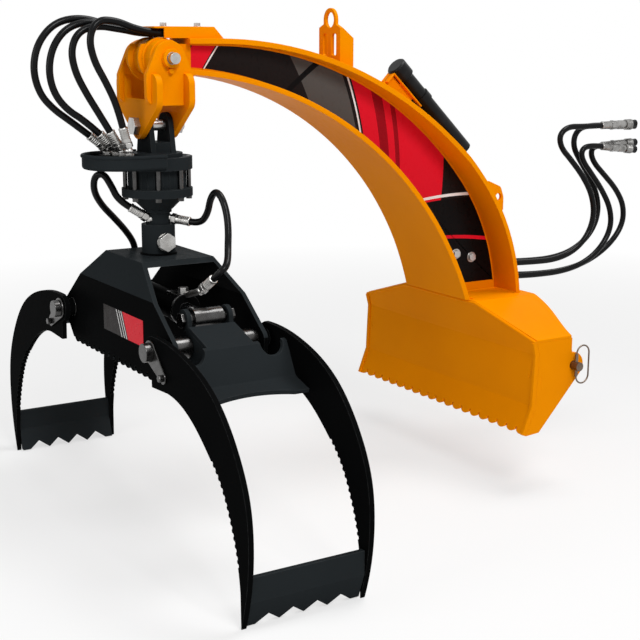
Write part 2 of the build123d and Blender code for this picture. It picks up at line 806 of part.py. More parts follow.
def tube_bracket():
    long = (tube_spot(1.0) - tube_spot(0.0)).length
    half = tube_clamp_long / 2 / long
    band = between(tube_spot(tube_clamp_share - half), tube_spot(tube_clamp_share + half),
                   tube_r + tube_clamp_wall)
    start = tube_spot(tube_clamp_share - half * 2)
    end = tube_spot(tube_clamp_share + half * 2)
    far = tube_spot(tube_clamp_share + half * 2, tube_post_long * 2)
    near = tube_spot(tube_clamp_share - half * 2, tube_post_long * 2)
    post = plate("y", [(start.X, start.Z), (end.X, end.Z), (far.X, far.Z), (near.X, near.Z)],
                 -tube_post_plate / 2, tube_post_plate / 2)
    whole = band + post
    whole -= between(tube_spot(0.0), tube_spot(1.0), tube_r)
    whole -= bar("y", outer_arc_x, outer_top_z - outer_arc_r, -overrun, overrun, outer_arc_r)
    bolt_at = tube_spot(tube_clamp_share, tube_r + tube_bolt_r * 2)
    bolt = hexagon("y", bolt_at.X, bolt_at.Z, tube_post_plate / 2, tube_post_plate / 2 + tube_bolt_out,
                   tube_bolt_r * 2)
    return group(whole, bolt, flip(bolt))


def frame_bolts():
    """Bolts through the webs at the boom's foot and through the hose cover's two sides."""
    bolts = []
    small_x, small_z = outer_centres()[1:]
    for depth, z in web_bolts:
        x = small_x - sqrt((outer_base_r - depth) ** 2 - (z - small_z) ** 2)
        bolts.append(hexagon("y", x, z, web_outer_y, web_outer_y + web_bolt_high, web_bolt_across))
    for share in cover_bolt_shares:
        x = hose_cover_knee_x + (hose_cover_wall_tip_x - hose_cover_knee_x) * share
        z = (outer_top_z + hose_cover_top_z) / 2
        bolts.append(bar("y", x, z, hose_cover_half, hose_cover_half + cover_bolt_high, cover_bolt_r))
    shapes = []
    for bolt in bolts:
        shapes += [bolt, flip(bolt)]
    return group(*shapes)


# Hanger
def hanger_side_plates():
    round_at = tangent(tip_x + hanger_half_wide, hanger_shoulder_z, tip_x, tip_z, hanger_top_r, 1)
    far = 2 * tip_x - round_at[0]
    points = [(tip_x - hanger_half_wide, hanger_side_low_z), (tip_x + hanger_half_wide, hanger_side_low_z),
              (tip_x + hanger_half_wide, hanger_shoulder_z), round_at, (tip_x, tip_z), (far, round_at[1]),
              (tip_x - hanger_half_wide, hanger_shoulder_z)]
    side = plate("y", points, hanger_side_y - hanger_plate, hanger_side_y,
                 [hanger_side_round, hanger_side_round, hanger_side_round / 2, 0.0, 0.0, 0.0, hanger_side_round / 2])
    side += bar("y", tip_x, tip_z, hanger_side_y - hanger_plate, hanger_side_y, hanger_top_r)
    side -= bar("y", tip_x, tip_z, 0.0, hanger_side_y + overrun, tip_pin_r + fit_gap)
    for sign in (-1, 1):
        near = tip_x + sign * (cross_out_x - hanger_plate)
        away = tip_x + sign * cross_out_x
        slot = [(near, hanger_side_low_z - overrun), (away, hanger_side_low_z - overrun),
                (away, slot_mid_z), (near, slot_mid_z)]
        side -= plate("y", slot, 0.0, hanger_side_y + overrun)
    return both_sides(side)


def hanger_cross_plates():
    lobe = tangent(cross_half_wide, cross_taper_z, 0.0, hanger_bolt_z, cross_lobe_r, -1)
    half = [(cross_leg_inner_y, cross_valley_z), (cross_leg_inner_y, cross_leg_top_z),
            (cross_half_wide, cross_leg_top_z), (cross_half_wide, cross_taper_z), lobe, (0.0, hanger_bolt_z)]
    points = half + [(-y, z) for y, z in half[-2::-1]]
    sizes = [cross_leg_round / 4, cross_leg_round, cross_leg_round, cross_leg_round, 0.0, 0.0]
    radii = sizes + sizes[-2::-1]
    low = tip_x + cross_out_x - hanger_plate
    cross = plate("x", points, low, low + hanger_plate, radii)
    cross += bar("x", 0.0, hanger_bolt_z, low, low + hanger_plate, cross_lobe_r)
    cross -= bar("x", 0.0, hanger_bolt_z, 0.0, tip_x * 2, hanger_bolt_r + fit_gap)
    for sign in (-1, 1):
        near = sign * (hanger_side_y - hanger_plate)
        away = sign * hanger_side_y
        slot = [(near, slot_mid_z), (away, slot_mid_z), (away, tip_z), (near, tip_z)]
        cross -= plate("x", slot, 0.0, tip_x * 2)
    return both_sides(cross, Plane.YZ.offset(tip_x))


def tip_pin():
    pin = bar("y", tip_x, tip_z, -tip_pin_half, tip_pin_half, tip_pin_r)
    collar = sleeve("y", tip_x, tip_z, hanger_side_y, hanger_side_y + collar_long, collar_r, tip_pin_r + fit_gap)
    lock = bar("y", tip_x, tip_z - lock_drop, hanger_side_y, hanger_side_y + lock_out, lock_r)
    return group(pin, collar, flip(collar), lock, flip(lock))


def hanger_bolt():
    head = tip_x + cross_out_x
    tail = tip_x - cross_out_x
    bolt = bar("x", 0.0, hanger_bolt_z, tail - bolt_head_high - bolt_end_out, head, hanger_bolt_r)
    bolt += hexagon("x", 0.0, hanger_bolt_z, head, head + bolt_head_high, bolt_head_across)
    nut = hexagon("x", 0.0, hanger_bolt_z, tail - bolt_head_high, tail, bolt_head_across)
    return bolt + nut


# Rotator
def rotator_bracket():
    near = bracket_out_x - bracket_plate
    touch = tangent(bracket_half, bracket_foot_z, 0.0, hanger_bolt_z, bracket_eye_r, 1)
    drawing = [(-bracket_half, bracket_foot_z), (bracket_half, bracket_foot_z), touch, (0.0, hanger_bolt_z),
               (-touch[0], touch[1])]
    ear = plate("x", drawing, tip_x + near, tip_x + bracket_out_x)
    ear += bar("x", 0.0, hanger_bolt_z, tip_x + near, tip_x + bracket_out_x, bracket_eye_r)
    drawing = [(tip_x - near, bracket_foot_z), (tip_x + near, bracket_foot_z),
               (tip_x + near, bracket_block_top_z), (tip_x - near, bracket_block_top_z)]
    block = plate("y", drawing, -bracket_block_half, bracket_block_half)
    foot = bar("z", tip_x, 0.0, flange_top_z, bracket_foot_z, bracket_foot_half)
    whole = ear + flip(ear, Plane.YZ.offset(tip_x)) + block + foot
    return whole - bar("x", 0.0, hanger_bolt_z, 0.0, tip_x * 2, hanger_bolt_r + fit_gap)


def turned(count, share, radius):
    """Points spread evenly on a circle about the rotator's axis, the first one a share of a step round."""
    turns = [2 * pi * (index + share) / count for index in range(count)]
    return [(tip_x + radius * cos(turn), radius * sin(turn)) for turn in turns]


def rotator_body():
    body = bar("z", tip_x, 0.0, flange_under_z, flange_top_z, flange_r)
    body += bar("z", tip_x, 0.0, low_flange_top_z, flange_under_z, body_r)
    body += bar("z", tip_x, 0.0, low_flange_z, low_flange_top_z, flange_r)
    body += [bar("z", x, y, low_flange_top_z, flange_under_z, rib_r) for x, y in turned(rib_count, 0.0, body_r)]
    body += Pos(tip_x, 0, (low_flange_z + cone_low_z) / 2) * Cone(cone_low_r, body_r, low_flange_z - cone_low_z)
    body -= [bar("z", x, y, low_flange_z - overrun, flange_top_z + overrun, tie_r + fit_gap)
             for x, y in turned(tie_count, 0.5, tie_circle_r)]
    body -= bar("z", tip_x, 0.0, cone_low_z - overrun, shaft_top_z + slide_gap, shaft_spigot_r + slide_gap)
    return body


def tie_bolts():
    bolts = []
    for x, y in turned(tie_count, 0.5, tie_circle_r):
        bolt = bar("z", x, y, low_flange_z - tie_head_high, flange_top_z, tie_r)
        bolt += hexagon("z", x, y, low_flange_z - tie_head_high, low_flange_z, tie_head_across)
        bolts.append(bolt)
    return group(*bolts)


def dish(low, high, inset):
    """Solid of the guard's plan, a straight start and a round nose, set in by a depth."""
    half = guard_half - inset
    start = tip_x + guard_start
    nose = tip_x + guard_reach - guard_half
    tray = plate("z", [(start, -half), (nose, -half), (nose, half), (start, half)], low, high)
    return tray + bar("z", nose, 0.0, low, high, half)


def hose_guard():
    shell = dish(guard_floor_z - guard_sheet, guard_rim_z, 0.0)
    shell = fillet(shell.edges().group_by(Axis.Z)[0], guard_sheet * 2)
    shell -= dish(guard_floor_z, guard_rim_z + overrun, guard_sheet)
    shell -= bar("z", tip_x, 0.0, guard_floor_z - overrun, guard_rim_z + overrun, flange_r)
    start = tip_x + guard_start + guard_sheet
    back = tip_x - flange_r
    mouth = [(back, -flange_r * 2), (start, -flange_r * 2), (start, flange_r * 2), (back, flange_r * 2)]
    shell -= plate("z", mouth, guard_floor_z - overrun, guard_rim_z + overrun)
    bead_z = guard_rim_z - guard_bead_r / 2
    side_y = guard_half - guard_sheet / 2
    nose = tip_x + guard_reach - guard_half
    path = Wire([Line((start, -side_y, bead_z), (nose, -side_y, bead_z)),
                 ThreePointArc((nose, -side_y, bead_z), (nose + side_y, 0, bead_z), (nose, side_y, bead_z)),
                 Line((nose, side_y, bead_z), (start, side_y, bead_z))])
    bead = sweep(Plane(origin=(start, -side_y, bead_z), z_dir=(1, 0, 0)) * Circle(guard_bead_r), path=path)
    return shell + bead


def rotator_ports():
    """Port block on the rotator's rim, with a hexagon and a ferrule for each of the four tip hoses."""
    near = tip_x + port_block_in
    away = tip_x + port_block_out
    drawing = [(near, -port_block_half), (away, -port_block_half), (away, port_block_half), (near, port_block_half)]
    block = plate("z", drawing, port_block_low_z, port_block_top_z, cover_sheet)
    block -= bar("z", tip_x, 0.0, flange_under_z, flange_top_z, flange_r)
    for start, aim, elbow in tip_ends():
        stub = bar("z", elbow.X, elbow.Y, port_block_top_z - fit_gap, elbow.Z, elbow_stub_r)
        block += hose_end(start, aim, elbow) + stub
    return block


# Turning part and head
def rotor_shaft():
    shaft = bar("z", tip_x, 0.0, shaft_low_z, ring_low_z, shaft_r)
    shaft += bar("z", tip_x, 0.0, ring_low_z, cone_low_z - slide_gap, ring_r)
    shaft += bar("z", tip_x, 0.0, cone_low_z - slide_gap, shaft_top_z, shaft_spigot_r)
    return shaft - bar("y", tip_x, socket_bolt_z, -tip_x, tip_x, socket_bolt_r + fit_gap)


def head_socket():
    socket = sleeve("z", tip_x, 0.0, head_top_z, socket_top_z, socket_r, shaft_r + fit_gap)
    return socket - bar("y", tip_x, socket_bolt_z, -tip_x, tip_x, socket_bolt_r + fit_gap)


def head_frame():
    half = [(head_side_x, head_sole_z), (head_side_x, head_fold_z), (head_top_half, head_top_z)]
    line = half + [(-x, z) for x, z in half[::-1]]
    hood = plate("y", folded([(tip_x + x, z) for x, z in line[::-1]], head_plate), -head_brow_y, head_brow_y)
    side = [(head_top_half_y, head_top_z + head_plate), (head_top_half_y, head_top_z), (head_fold_y, head_fold_z),
            (head_brow_y, head_brow_z), (head_cheek_y, head_cheek_z), (head_chin_y, head_chin_z),
            (head_sole_y, head_sole_z)]
    sizes = [0.0, 0.0, head_plate, head_plate * 2, head_plate * 2, head_plate, head_plate / 2]
    outline = side + [(-y, z) for y, z in side[::-1]]
    hood &= plate("x", outline, tip_x - head_side_x * 2, tip_x + head_side_x * 2, sizes + sizes[::-1])
    teeth = round(2 * head_sole_y / head_tooth_pitch)
    hood -= scallops(2 * head_sole_y, head_sole_z, teeth, head_tooth_round_share, head_tooth_notch,
                     tip_x - head_side_x * 2, tip_x + head_side_x * 2)
    for side_y in (-pivot_y, pivot_y):
        hood -= bar("x", side_y, pivot_z, 0.0, tip_x * 2, boss_r)
    return hood


def head_bosses():
    boss = sleeve("x", pivot_y, pivot_z, tip_x + boss_in_x, tip_x + boss_out_x, boss_r, pivot_r + fit_gap)
    pair = [boss, flip(boss)]
    return group(*pair, *[flip(piece, Plane.YZ.offset(tip_x)) for piece in pair])


def rotor_fittings():
    """Bolt through the socket, and the elbow and ferrule of each lower hose at the turning shaft."""
    bolt = bar("y", tip_x, socket_bolt_z, -socket_r - socket_bolt_high, socket_r, socket_bolt_r)
    head = hexagon("y", tip_x, socket_bolt_z, socket_r, socket_r + socket_bolt_high, socket_bolt_across)
    nut = hexagon("y", tip_x, socket_bolt_z, -socket_r - socket_bolt_high, -socket_r, socket_bolt_across)
    core = bar("z", tip_x, 0.0, shaft_low_z, ring_low_z, shaft_r)
    core += bar("z", tip_x, 0.0, ring_low_z, cone_low_z, ring_r + slide_gap)
    core += bar("z", tip_x, 0.0, head_top_z, socket_top_z, socket_r)
    pieces = [bolt + head + nut]
    for route in (lower_route_left, lower_route_right):
        start = Vector(*route[0])
        aim = (start - Vector(*route[1])).normalized()
        elbow = start + aim * (ferrule_long + nut_long + elbow_reach)
        inward = Vector(tip_x, 0, elbow.Z)
        pieces.append(hose_end(start, aim, elbow) + between(elbow, inward, elbow_stub_r) - core)
    return group(*pieces)


def hose_end(start, aim, elbow):
    """Ferrule, nut and ball of an elbow on the end of a hose, pointing along the hose's last run."""
    nut_at = start + aim * ferrule_long
    end = Plane(origin=nut_at + aim * (nut_long / 2), z_dir=aim)
    shape = between(start, nut_at, ferrule_r)
    shape += end * extrude(RegularPolygon(nut_across / 2, 6), amount=nut_long / 2, both=True)
    shape += between(nut_at + aim * nut_long, elbow, elbow_stub_r)
    return shape + Pos(elbow) * Sphere(elbow_r)


def tip_ends():
    ends = []
    for route in (tip_route_1, tip_route_2, tip_route_3, tip_route_4):
        start = Vector(*route[-1])
        aim = (start - Vector(*route[-2])).normalized()
        ends.append((start, aim, start + aim * (ferrule_long + nut_long + elbow_reach)))
    return ends


# Claws, drawn for the left side (+Y), and turned over for the other
def claw_spots(shares):
    """Points of the claw's outline, as shares of how far its tip lies out from and below its pivot."""
    out = claw_tip_y - pivot_y
    down = pivot_z - claw_tip_z
    return [spot("x", pivot_y + out * y_share, pivot_z + down * z_share) for y_share, z_share in shares]


def claw_plates():
    tip = spot("x", claw_tip_y, claw_tip_z)
    back = claw_spots(claw_back_shares)
    jaw = claw_spots(claw_jaw_shares)
    heel = claw_spots([claw_heel_share])[0]
    crown = spot("x", pivot_y - claw_eye_r / 4, pivot_z + claw_eye_r)
    jaw_line = Spline(jaw)
    edges = [Line(heel, crown), Spline([crown] + back + [tip]), Line(tip, jaw[0]), jaw_line,
             Line(jaw[-1], heel)]
    side = push(edges, "x", tip_x + claw_in_x, tip_x + claw_in_x + claw_plate)
    side += bar("x", pivot_y, pivot_z, tip_x + claw_in_x, tip_x + claw_in_x + claw_plate, claw_eye_r)
    side += bar("x", pivot_y, pivot_z, tip_x + boss_out_x + slide_gap, tip_x + claw_in_x, claw_hub_r)
    for index in range(claw_tooth_count):
        share = (claw_tooth_start + claw_tooth_pitch * index) / jaw_line.length
        at = jaw_line.position_at(share)
        side -= bar("x", at.Y, at.Z, tip_x, tip_x + claw_in_x + overrun, claw_tooth_r)
    side -= bar("x", pivot_y, pivot_z, tip_x, tip_x + claw_in_x + overrun, pivot_r + fit_gap)
    return both_sides(side, Plane.YZ.offset(tip_x))


def panel_line():
    return [(panel_start_y, panel_start_z), (panel_brow_y, panel_brow_z), (panel_fold_y, panel_fold_z),
            (panel_lip_y, panel_lip_z)]


def claw_panel():
    sheet = plate("x", folded(panel_line(), panel_plate), tip_x - claw_in_x, tip_x + claw_in_x)
    step_y = panel_brow_y - panel_plate
    for side in (-1, 1):
        near = tip_x + side * ear_out_x
        away = tip_x + side * (claw_in_x + overrun)
        sheet -= plate("z", [(near, 0.0), (away, 0.0), (away, step_y), (near, step_y)],
                       panel_lip_z - overrun, panel_start_z + overrun)
        corner = tip_x + side * (ear_out_x + claw_in_x) / 2
        sheet -= bar("y", corner, panel_brow_z, 0.0, panel_fold_y, panel_corner_r)
    centre_y = panel_lip_y - panel_cut_deep + panel_cut_r
    return sheet - bar("z", tip_x, centre_y, 0.0, panel_start_z, panel_cut_r)


def claw_ears():
    line = parallel(panel_line(), panel_plate)
    touch = tangent(line[0][0], line[0][1], rod_pin_y, rod_pin_z, ear_pin_r, 1)
    low = tangent(line[2][0], line[2][1], pivot_y, pivot_z, ear_pivot_r, -1)
    points = [line[0], line[1], line[2], low, (pivot_y, pivot_z), (rod_pin_y, rod_pin_z), touch]
    inner = tip_x + ear_out_x - ear_plate
    outer = tip_x + ear_out_x
    ear = plate("x", points, inner, outer)
    ear += bar("x", pivot_y, pivot_z, inner, outer, ear_pivot_r)
    ear += bar("x", rod_pin_y, rod_pin_z, inner, outer, ear_pin_r)
    ear -= bar("x", pivot_y, pivot_z, 0.0, tip_x * 2, pivot_r + fit_gap)
    ear -= bar("x", rod_pin_y, rod_pin_z, 0.0, tip_x * 2, rod_pin_r + fit_gap)
    return both_sides(ear, Plane.YZ.offset(tip_x))


def claw_tooth_bar():
    front = [(bar_top_y, bar_top_z), (bar_top_y, bar_fold_z), (bar_tip_y, bar_tip_z)]
    piece = plate("x", folded(front, bar_plate), tip_x - claw_in_x, tip_x + claw_in_x)
    pitch = 2 * claw_in_x / (bar_notches + 1)
    low_z = bar_tip_z - bar_plate
    for index in range(bar_notches):
        x = tip_x - claw_in_x + pitch * (index + 1)
        notch = [(x - bar_notch_half, low_z), (x + bar_notch_half, low_z), (x, bar_tip_z + bar_notch_deep)]
        piece -= plate("y", notch, 0.0, bar_top_y + overrun)
    return piece


def claw_pins():
    """Two stub pins with caps and flag plates, and the pin that carries the cylinder."""
    stub = bar("x", pivot_y, pivot_z, tip_x + stub_in_x, tip_x + claw_in_x + claw_plate, pivot_r)
    stub += bar("x", pivot_y, pivot_z, tip_x + claw_in_x + claw_plate, tip_x + cap_out_x, cap_r)
    flag_low = tip_x + claw_in_x + claw_plate
    flag_y = pivot_y + flag_out
    flag_z = pivot_z - flag_drop
    ends = [(pivot_y, pivot_z, cap_r + flag_plate), (flag_y, flag_z, flag_end_r)]
    turn = atan2(flag_z - pivot_z, flag_y - pivot_y) + pi / 2
    corners = [(y - radius * cos(turn), z - radius * sin(turn)) for y, z, radius in ends]
    corners += [(y + radius * cos(turn), z + radius * sin(turn)) for y, z, radius in ends[::-1]]
    flag = plate("x", corners, flag_low, flag_low + flag_plate)
    for y, z, radius in ends:
        flag += bar("x", y, z, flag_low, flag_low + flag_plate, radius)
    flag -= bar("x", pivot_y, pivot_z, 0.0, tip_x * 2, cap_r + fit_gap)
    flag_face = flag_low + flag_plate
    bolt = hexagon("x", flag_y, flag_z, flag_face, flag_face + flag_bolt_out, flag_bolt_r * 2)
    one = [stub, flag, bolt]
    pin = bar("x", rod_pin_y, rod_pin_z, tip_x - rod_pin_out, tip_x + rod_pin_out, rod_pin_r)
    head = hexagon("x", rod_pin_y, rod_pin_z, tip_x + ear_out_x, tip_x + ear_out_x + rod_pin_head_high,
                   rod_pin_head_across)
    pin += head + flip(head, Plane.YZ.offset(tip_x))
    return group(*one, *[flip(piece, Plane.YZ.offset(tip_x)) for piece in one], pin)


# Cylinder
def barrel():
    start = -rod_pin_y + barrel_start
    body = bar("y", tip_x, rod_pin_z, start, gland_y - gland_long, barrel_r)
    body += bar("y", tip_x, rod_pin_z, gland_y - gland_long, gland_y, gland_r)
    lug = bar("x", -rod_pin_y, rod_pin_z, tip_x - barrel_eye_half, tip_x + barrel_eye_half, barrel_eye_r)
    neck = Box(barrel_eye_half, barrel_start, barrel_neck_high)
    neck = Pos(tip_x, -rod_pin_y + barrel_start / 2, rod_pin_z) * neck
    body += lug + neck
    body -= bar("x", -rod_pin_y, rod_pin_z, 0.0, tip_x * 2, rod_pin_r + fit_gap)
    body -= bar("y", tip_x, rod_pin_z, start + barrel_base, gland_y - gland_long / 2, barrel_bore_r)
    return body - bar("y", tip_x, rod_pin_z, 0.0, gland_y + overrun, rod_r + slide_gap)


def rod():
    stem = bar("y", tip_x, rod_pin_z, piston_y, rod_pin_y, rod_r)
    stem += bar("y", tip_x, rod_pin_z, piston_y, piston_y + piston_long, barrel_bore_r - slide_gap)
    stem += bar("x", rod_pin_y, rod_pin_z, tip_x - rod_eye_half, tip_x + rod_eye_half, rod_eye_r)
    return stem - bar("x", rod_pin_y, rod_pin_z, 0.0, tip_x * 2, rod_pin_r + fit_gap)


def barrel_fittings():
    """Port block and elbow at the gland, and the port at the other end."""
    drawing = [(port_start_y, rod_pin_z), (port_end_y, rod_pin_z),
               (port_end_y, port_top_z), (port_start_y, port_top_z)]
    block = plate("x", drawing, tip_x - port_half, tip_x + port_half)
    start = Vector(*lower_route_right[-1])
    aim = (start - Vector(*lower_route_right[-2])).normalized()
    elbow = start + aim * (ferrule_long + nut_long + elbow_reach)
    block_end = Vector(tip_x, port_end_y - elbow_r, port_top_z - elbow_r)
    front = block + between(block_end, elbow, elbow_stub_r) + hose_end(start, aim, elbow)
    rear_start = Vector(*lower_route_left[-1])
    rear_aim = (rear_start - Vector(*lower_route_left[-2])).normalized()
    rear = hose_end(rear_start, rear_aim, rear_start + rear_aim * (ferrule_long + nut_long + elbow_reach))
    whole = [front, rear]
    core = bar("y", tip_x, rod_pin_z, -rod_pin_y, gland_y - gland_long, barrel_r)
    core += bar("y", tip_x, rod_pin_z, gland_y - gland_long, gland_y, gland_r)
    return group(*[piece - core for piece in whole])


# Hoses
def hose(name, route):
    """Round hose along straight runs joined by arcs, each as large as its two runs allow."""
    spots = [Vector(*place) for place in route]
    radii = []
    for back, here, ahead in zip(spots, spots[1:], spots[2:]):
        turn = (here - back).get_angle(ahead - here)
        shorter = min((here - back).length, (ahead - here).length)
        radii.append(arc_share * shorter / tan(radians(turn) / 2))
    path = FilletPolyline(*spots, radius=radii)
    tube = sweep(Plane(origin=spots[0], z_dir=spots[1] - spots[0]) * Circle(hose_r), path=path)
    full = pi * hose_r ** 2 * path.length
    print(name, "length", round(path.length), "radii", [round(radius) for radius in radii],
          "volume share", round(tube.volume / full, 3))
    return tube


def coupler(route):
    """Ferrule, nut, quick coupler and dust cap on the end of a rear hose."""
    start = Vector(*route[-1])
    aim = (start - Vector(*route[-2])).normalized()
    steps = ((ferrule_long, ferrule_r), (nut_long, nut_across / 2), (coupler_body_long, coupler_r),
             (coupler_sleeve_long, coupler_sleeve_r), (coupler_cap_long, coupler_r))
    shape = None
    for long, radius in steps:
        step = between(start, start + aim * long, radius)
        shape = step if shape is None else shape + step
        start = start + aim * long
    return shape


def rear_routes():
    return [rear_route_1, rear_route_2, rear_route_3, rear_route_4]


nodes = {
    "blade": blade, "side_plates": side_plates, "hitch_ears": hitch_ears, "top_cover": top_cover,
    "hitch_pins": hitch_pins, "ring_left": lambda: ring(1), "ring_right": lambda: ring(-1),
    "boom_inner_flange": boom_inner_flange, "boom_outer_flange": boom_outer_flange, "boom_webs": boom_webs,
    "tip_tube": tip_tube, "hose_cover": hose_cover, "lifting_plate": lifting_plate,
    "top_link_ears": top_link_ears, "manual_tube": manual_tube, "tube_cap": tube_cap,
    "tube_bracket": tube_bracket, "frame_bolts": frame_bolts,
    "hanger_side_plates": hanger_side_plates, "hanger_cross_plates": hanger_cross_plates,
    "tip_pin": tip_pin, "hanger_bolt": hanger_bolt,
    "rotator_bracket": rotator_bracket, "rotator_body": rotator_body, "tie_bolts": tie_bolts,
    "hose_guard": hose_guard, "rotator_ports": rotator_ports,
    "rotor_shaft": rotor_shaft, "head_socket": head_socket, "head_frame": head_frame,
    "head_bosses": head_bosses, "rotor_fittings": rotor_fittings,
    "barrel": barrel, "barrel_fittings": barrel_fittings, "rod": rod,
}
for piece in (claw_plates, claw_panel, claw_ears, claw_tooth_bar, claw_pins):
    nodes[piece.__name__.replace("claw_", "claw_left_")] = piece
    nodes[piece.__name__.replace("claw_", "claw_right_")] = lambda piece=piece: group(flip(piece()))
for number, route in enumerate((tip_route_1, tip_route_2, tip_route_3, tip_route_4), 1):
    nodes[f"tip_hose_{number}"] = lambda number=number, route=route: hose(f"tip_hose_{number}", route)
for number, route in enumerate(rear_routes(), 1):
    nodes[f"rear_hose_{number}"] = lambda number=number, route=route: hose(f"rear_hose_{number}", route)
    nodes[f"coupler_{number}"] = lambda route=route: coupler(route)
nodes["lower_hose_left"] = lambda: hose("lower_hose_left", lower_route_left)
nodes["lower_hose_right"] = lambda: hose("lower_hose_right", lower_route_right)

os.makedirs("parts", exist_ok=True)
for name, make in nodes.items():
    export_step(group(make()), f"parts/{name}.step")
print(len(nodes), "nodes")
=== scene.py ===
import json
from math import cos, pi, radians, sin, sqrt

import bmesh
import bpy
from mathutils import Matrix, Vector

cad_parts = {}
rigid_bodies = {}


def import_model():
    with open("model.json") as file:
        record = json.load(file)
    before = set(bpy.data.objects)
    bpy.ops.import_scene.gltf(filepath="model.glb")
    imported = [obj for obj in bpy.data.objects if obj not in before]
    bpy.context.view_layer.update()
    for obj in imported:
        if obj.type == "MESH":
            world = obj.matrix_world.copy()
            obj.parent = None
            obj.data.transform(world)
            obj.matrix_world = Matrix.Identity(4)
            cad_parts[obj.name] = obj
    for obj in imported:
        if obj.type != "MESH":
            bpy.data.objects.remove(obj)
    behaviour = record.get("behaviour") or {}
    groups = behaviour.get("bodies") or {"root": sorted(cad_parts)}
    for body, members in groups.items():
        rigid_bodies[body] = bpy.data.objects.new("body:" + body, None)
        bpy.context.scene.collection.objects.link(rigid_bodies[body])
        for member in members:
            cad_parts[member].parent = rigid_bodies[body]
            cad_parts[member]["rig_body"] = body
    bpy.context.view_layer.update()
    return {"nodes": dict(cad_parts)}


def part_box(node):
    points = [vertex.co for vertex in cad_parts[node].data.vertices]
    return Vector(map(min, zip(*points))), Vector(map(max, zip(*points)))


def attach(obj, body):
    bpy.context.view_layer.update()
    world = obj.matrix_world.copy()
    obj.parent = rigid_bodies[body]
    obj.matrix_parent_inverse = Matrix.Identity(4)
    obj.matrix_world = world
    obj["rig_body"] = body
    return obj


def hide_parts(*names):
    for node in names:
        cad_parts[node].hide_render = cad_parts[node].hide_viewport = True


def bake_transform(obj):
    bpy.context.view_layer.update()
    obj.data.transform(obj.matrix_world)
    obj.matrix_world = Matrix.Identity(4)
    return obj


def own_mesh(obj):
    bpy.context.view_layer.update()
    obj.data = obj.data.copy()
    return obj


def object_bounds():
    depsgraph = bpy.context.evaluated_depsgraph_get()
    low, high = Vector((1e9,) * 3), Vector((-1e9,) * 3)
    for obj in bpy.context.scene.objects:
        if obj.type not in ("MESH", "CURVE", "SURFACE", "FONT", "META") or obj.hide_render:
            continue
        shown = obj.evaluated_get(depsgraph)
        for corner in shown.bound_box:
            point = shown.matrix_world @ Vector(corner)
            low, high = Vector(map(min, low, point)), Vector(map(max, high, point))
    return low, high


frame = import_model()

nodeBodies = {name: node["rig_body"] for name, node in frame["nodes"].items()}
up = Vector((0, 0, 1))
print("frame loaded,", len(nodeBodies), "nodes")


def linked(name, data):
    # a new object in the scene
    thing = bpy.data.objects.new(name, data)
    bpy.context.scene.collection.objects.link(thing)
    return thing


def aimed(place, direction):
    # moves to a place and turns Z to a direction
    return Matrix.Translation(place) @ Vector(direction).to_track_quat("Z", "Y").to_matrix().to_4x4()


# Camera, at the photograph's viewpoint
cameraView = {"place": (2.1403, 2.6150, 0.7762), "back": (0.5172, 0.8288, 0.2134), "roll": 0.2,
              "lens": 71.98, "sensor": 36.0, "clip": 60.0}


def makeCamera():
    lens = bpy.data.cameras.new("camera")
    lens.lens = cameraView["lens"]
    lens.sensor_width = cameraView["sensor"]
    lens.clip_end = cameraView["clip"]
    camera = linked("camera", lens)
    camera.matrix_world = aimed(cameraView["place"], cameraView["back"]) @ Matrix.Rotation(
        radians(cameraView["roll"]), 4, "Z")
    bpy.context.scene.camera = camera


makeCamera()
print("camera made")


# Building blocks for materials
def addNode(tree, kind, inputs=None, **settings):
    node = tree.nodes.new("ShaderNode" + kind)
    for key, value in settings.items():
        setattr(node, key, value)
    for key, value in (inputs or {}).items():
        node.inputs[key].default_value = value
    return node


def wire(tree, source, target):
    tree.links.new(source, target)


def sumNode(tree, operation, first, second=None, clamp=False):
    node = addNode(tree, "Math", operation=operation, use_clamp=clamp)
    for socket, value in zip(node.inputs, (first, second)):
        if isinstance(value, (int, float)):
            socket.default_value = value
        elif value is not None:
            wire(tree, value, socket)
    return node.outputs[0]


def spread(tree, source, fromLow, fromHigh, toLow=0.0, toHigh=1.0):
    node = addNode(tree, "MapRange",
                   {"From Min": fromLow, "From Max": fromHigh, "To Min": toLow, "To Max": toHigh})
    wire(tree, source, node.inputs["Value"])
    return node.outputs["Result"]


def mixColour(tree, factor, first, second):
    node = addNode(tree, "Mix", data_type="RGBA")
    for socket, value in ((node.inputs[0], factor), (node.inputs[6], first), (node.inputs[7], second)):
        if isinstance(value, (int, float)):
            socket.default_value = value
        elif isinstance(value, tuple):
            socket.default_value = (*value, 1.0)
        else:
            wire(tree, value, socket)
    return node.outputs[2]


def noise(tree, place, scale, detail=3.0, stretch=None):
    if stretch:
        mapping = addNode(tree, "Mapping", {"Scale": stretch})
        wire(tree, place, mapping.inputs["Vector"])
        place = mapping.outputs["Vector"]
    node = addNode(tree, "TexNoise", {"Scale": scale, "Detail": detail})
    wire(tree, place, node.inputs["Vector"])
    return node.outputs["Fac"]


def edgeMask(tree, radius):
    # 1 on flat ground, less where a rounded normal leans off the flat one
    bevel = addNode(tree, "Bevel", {"Radius": radius}, samples=4)
    flat = addNode(tree, "NewGeometry")
    dot = addNode(tree, "VectorMath", operation="DOT_PRODUCT")
    wire(tree, bevel.outputs[0], dot.inputs[0])
    wire(tree, flat.outputs["Normal"], dot.inputs[1])
    return dot.outputs["Value"]


def bumpNode(tree, height, strength, distance, before=None):
    node = addNode(tree, "Bump", {"Strength": strength, "Distance": distance})
    wire(tree, height, node.inputs["Height"])
    if before is not None:
        wire(tree, before, node.inputs["Normal"])
    return node.outputs["Normal"]


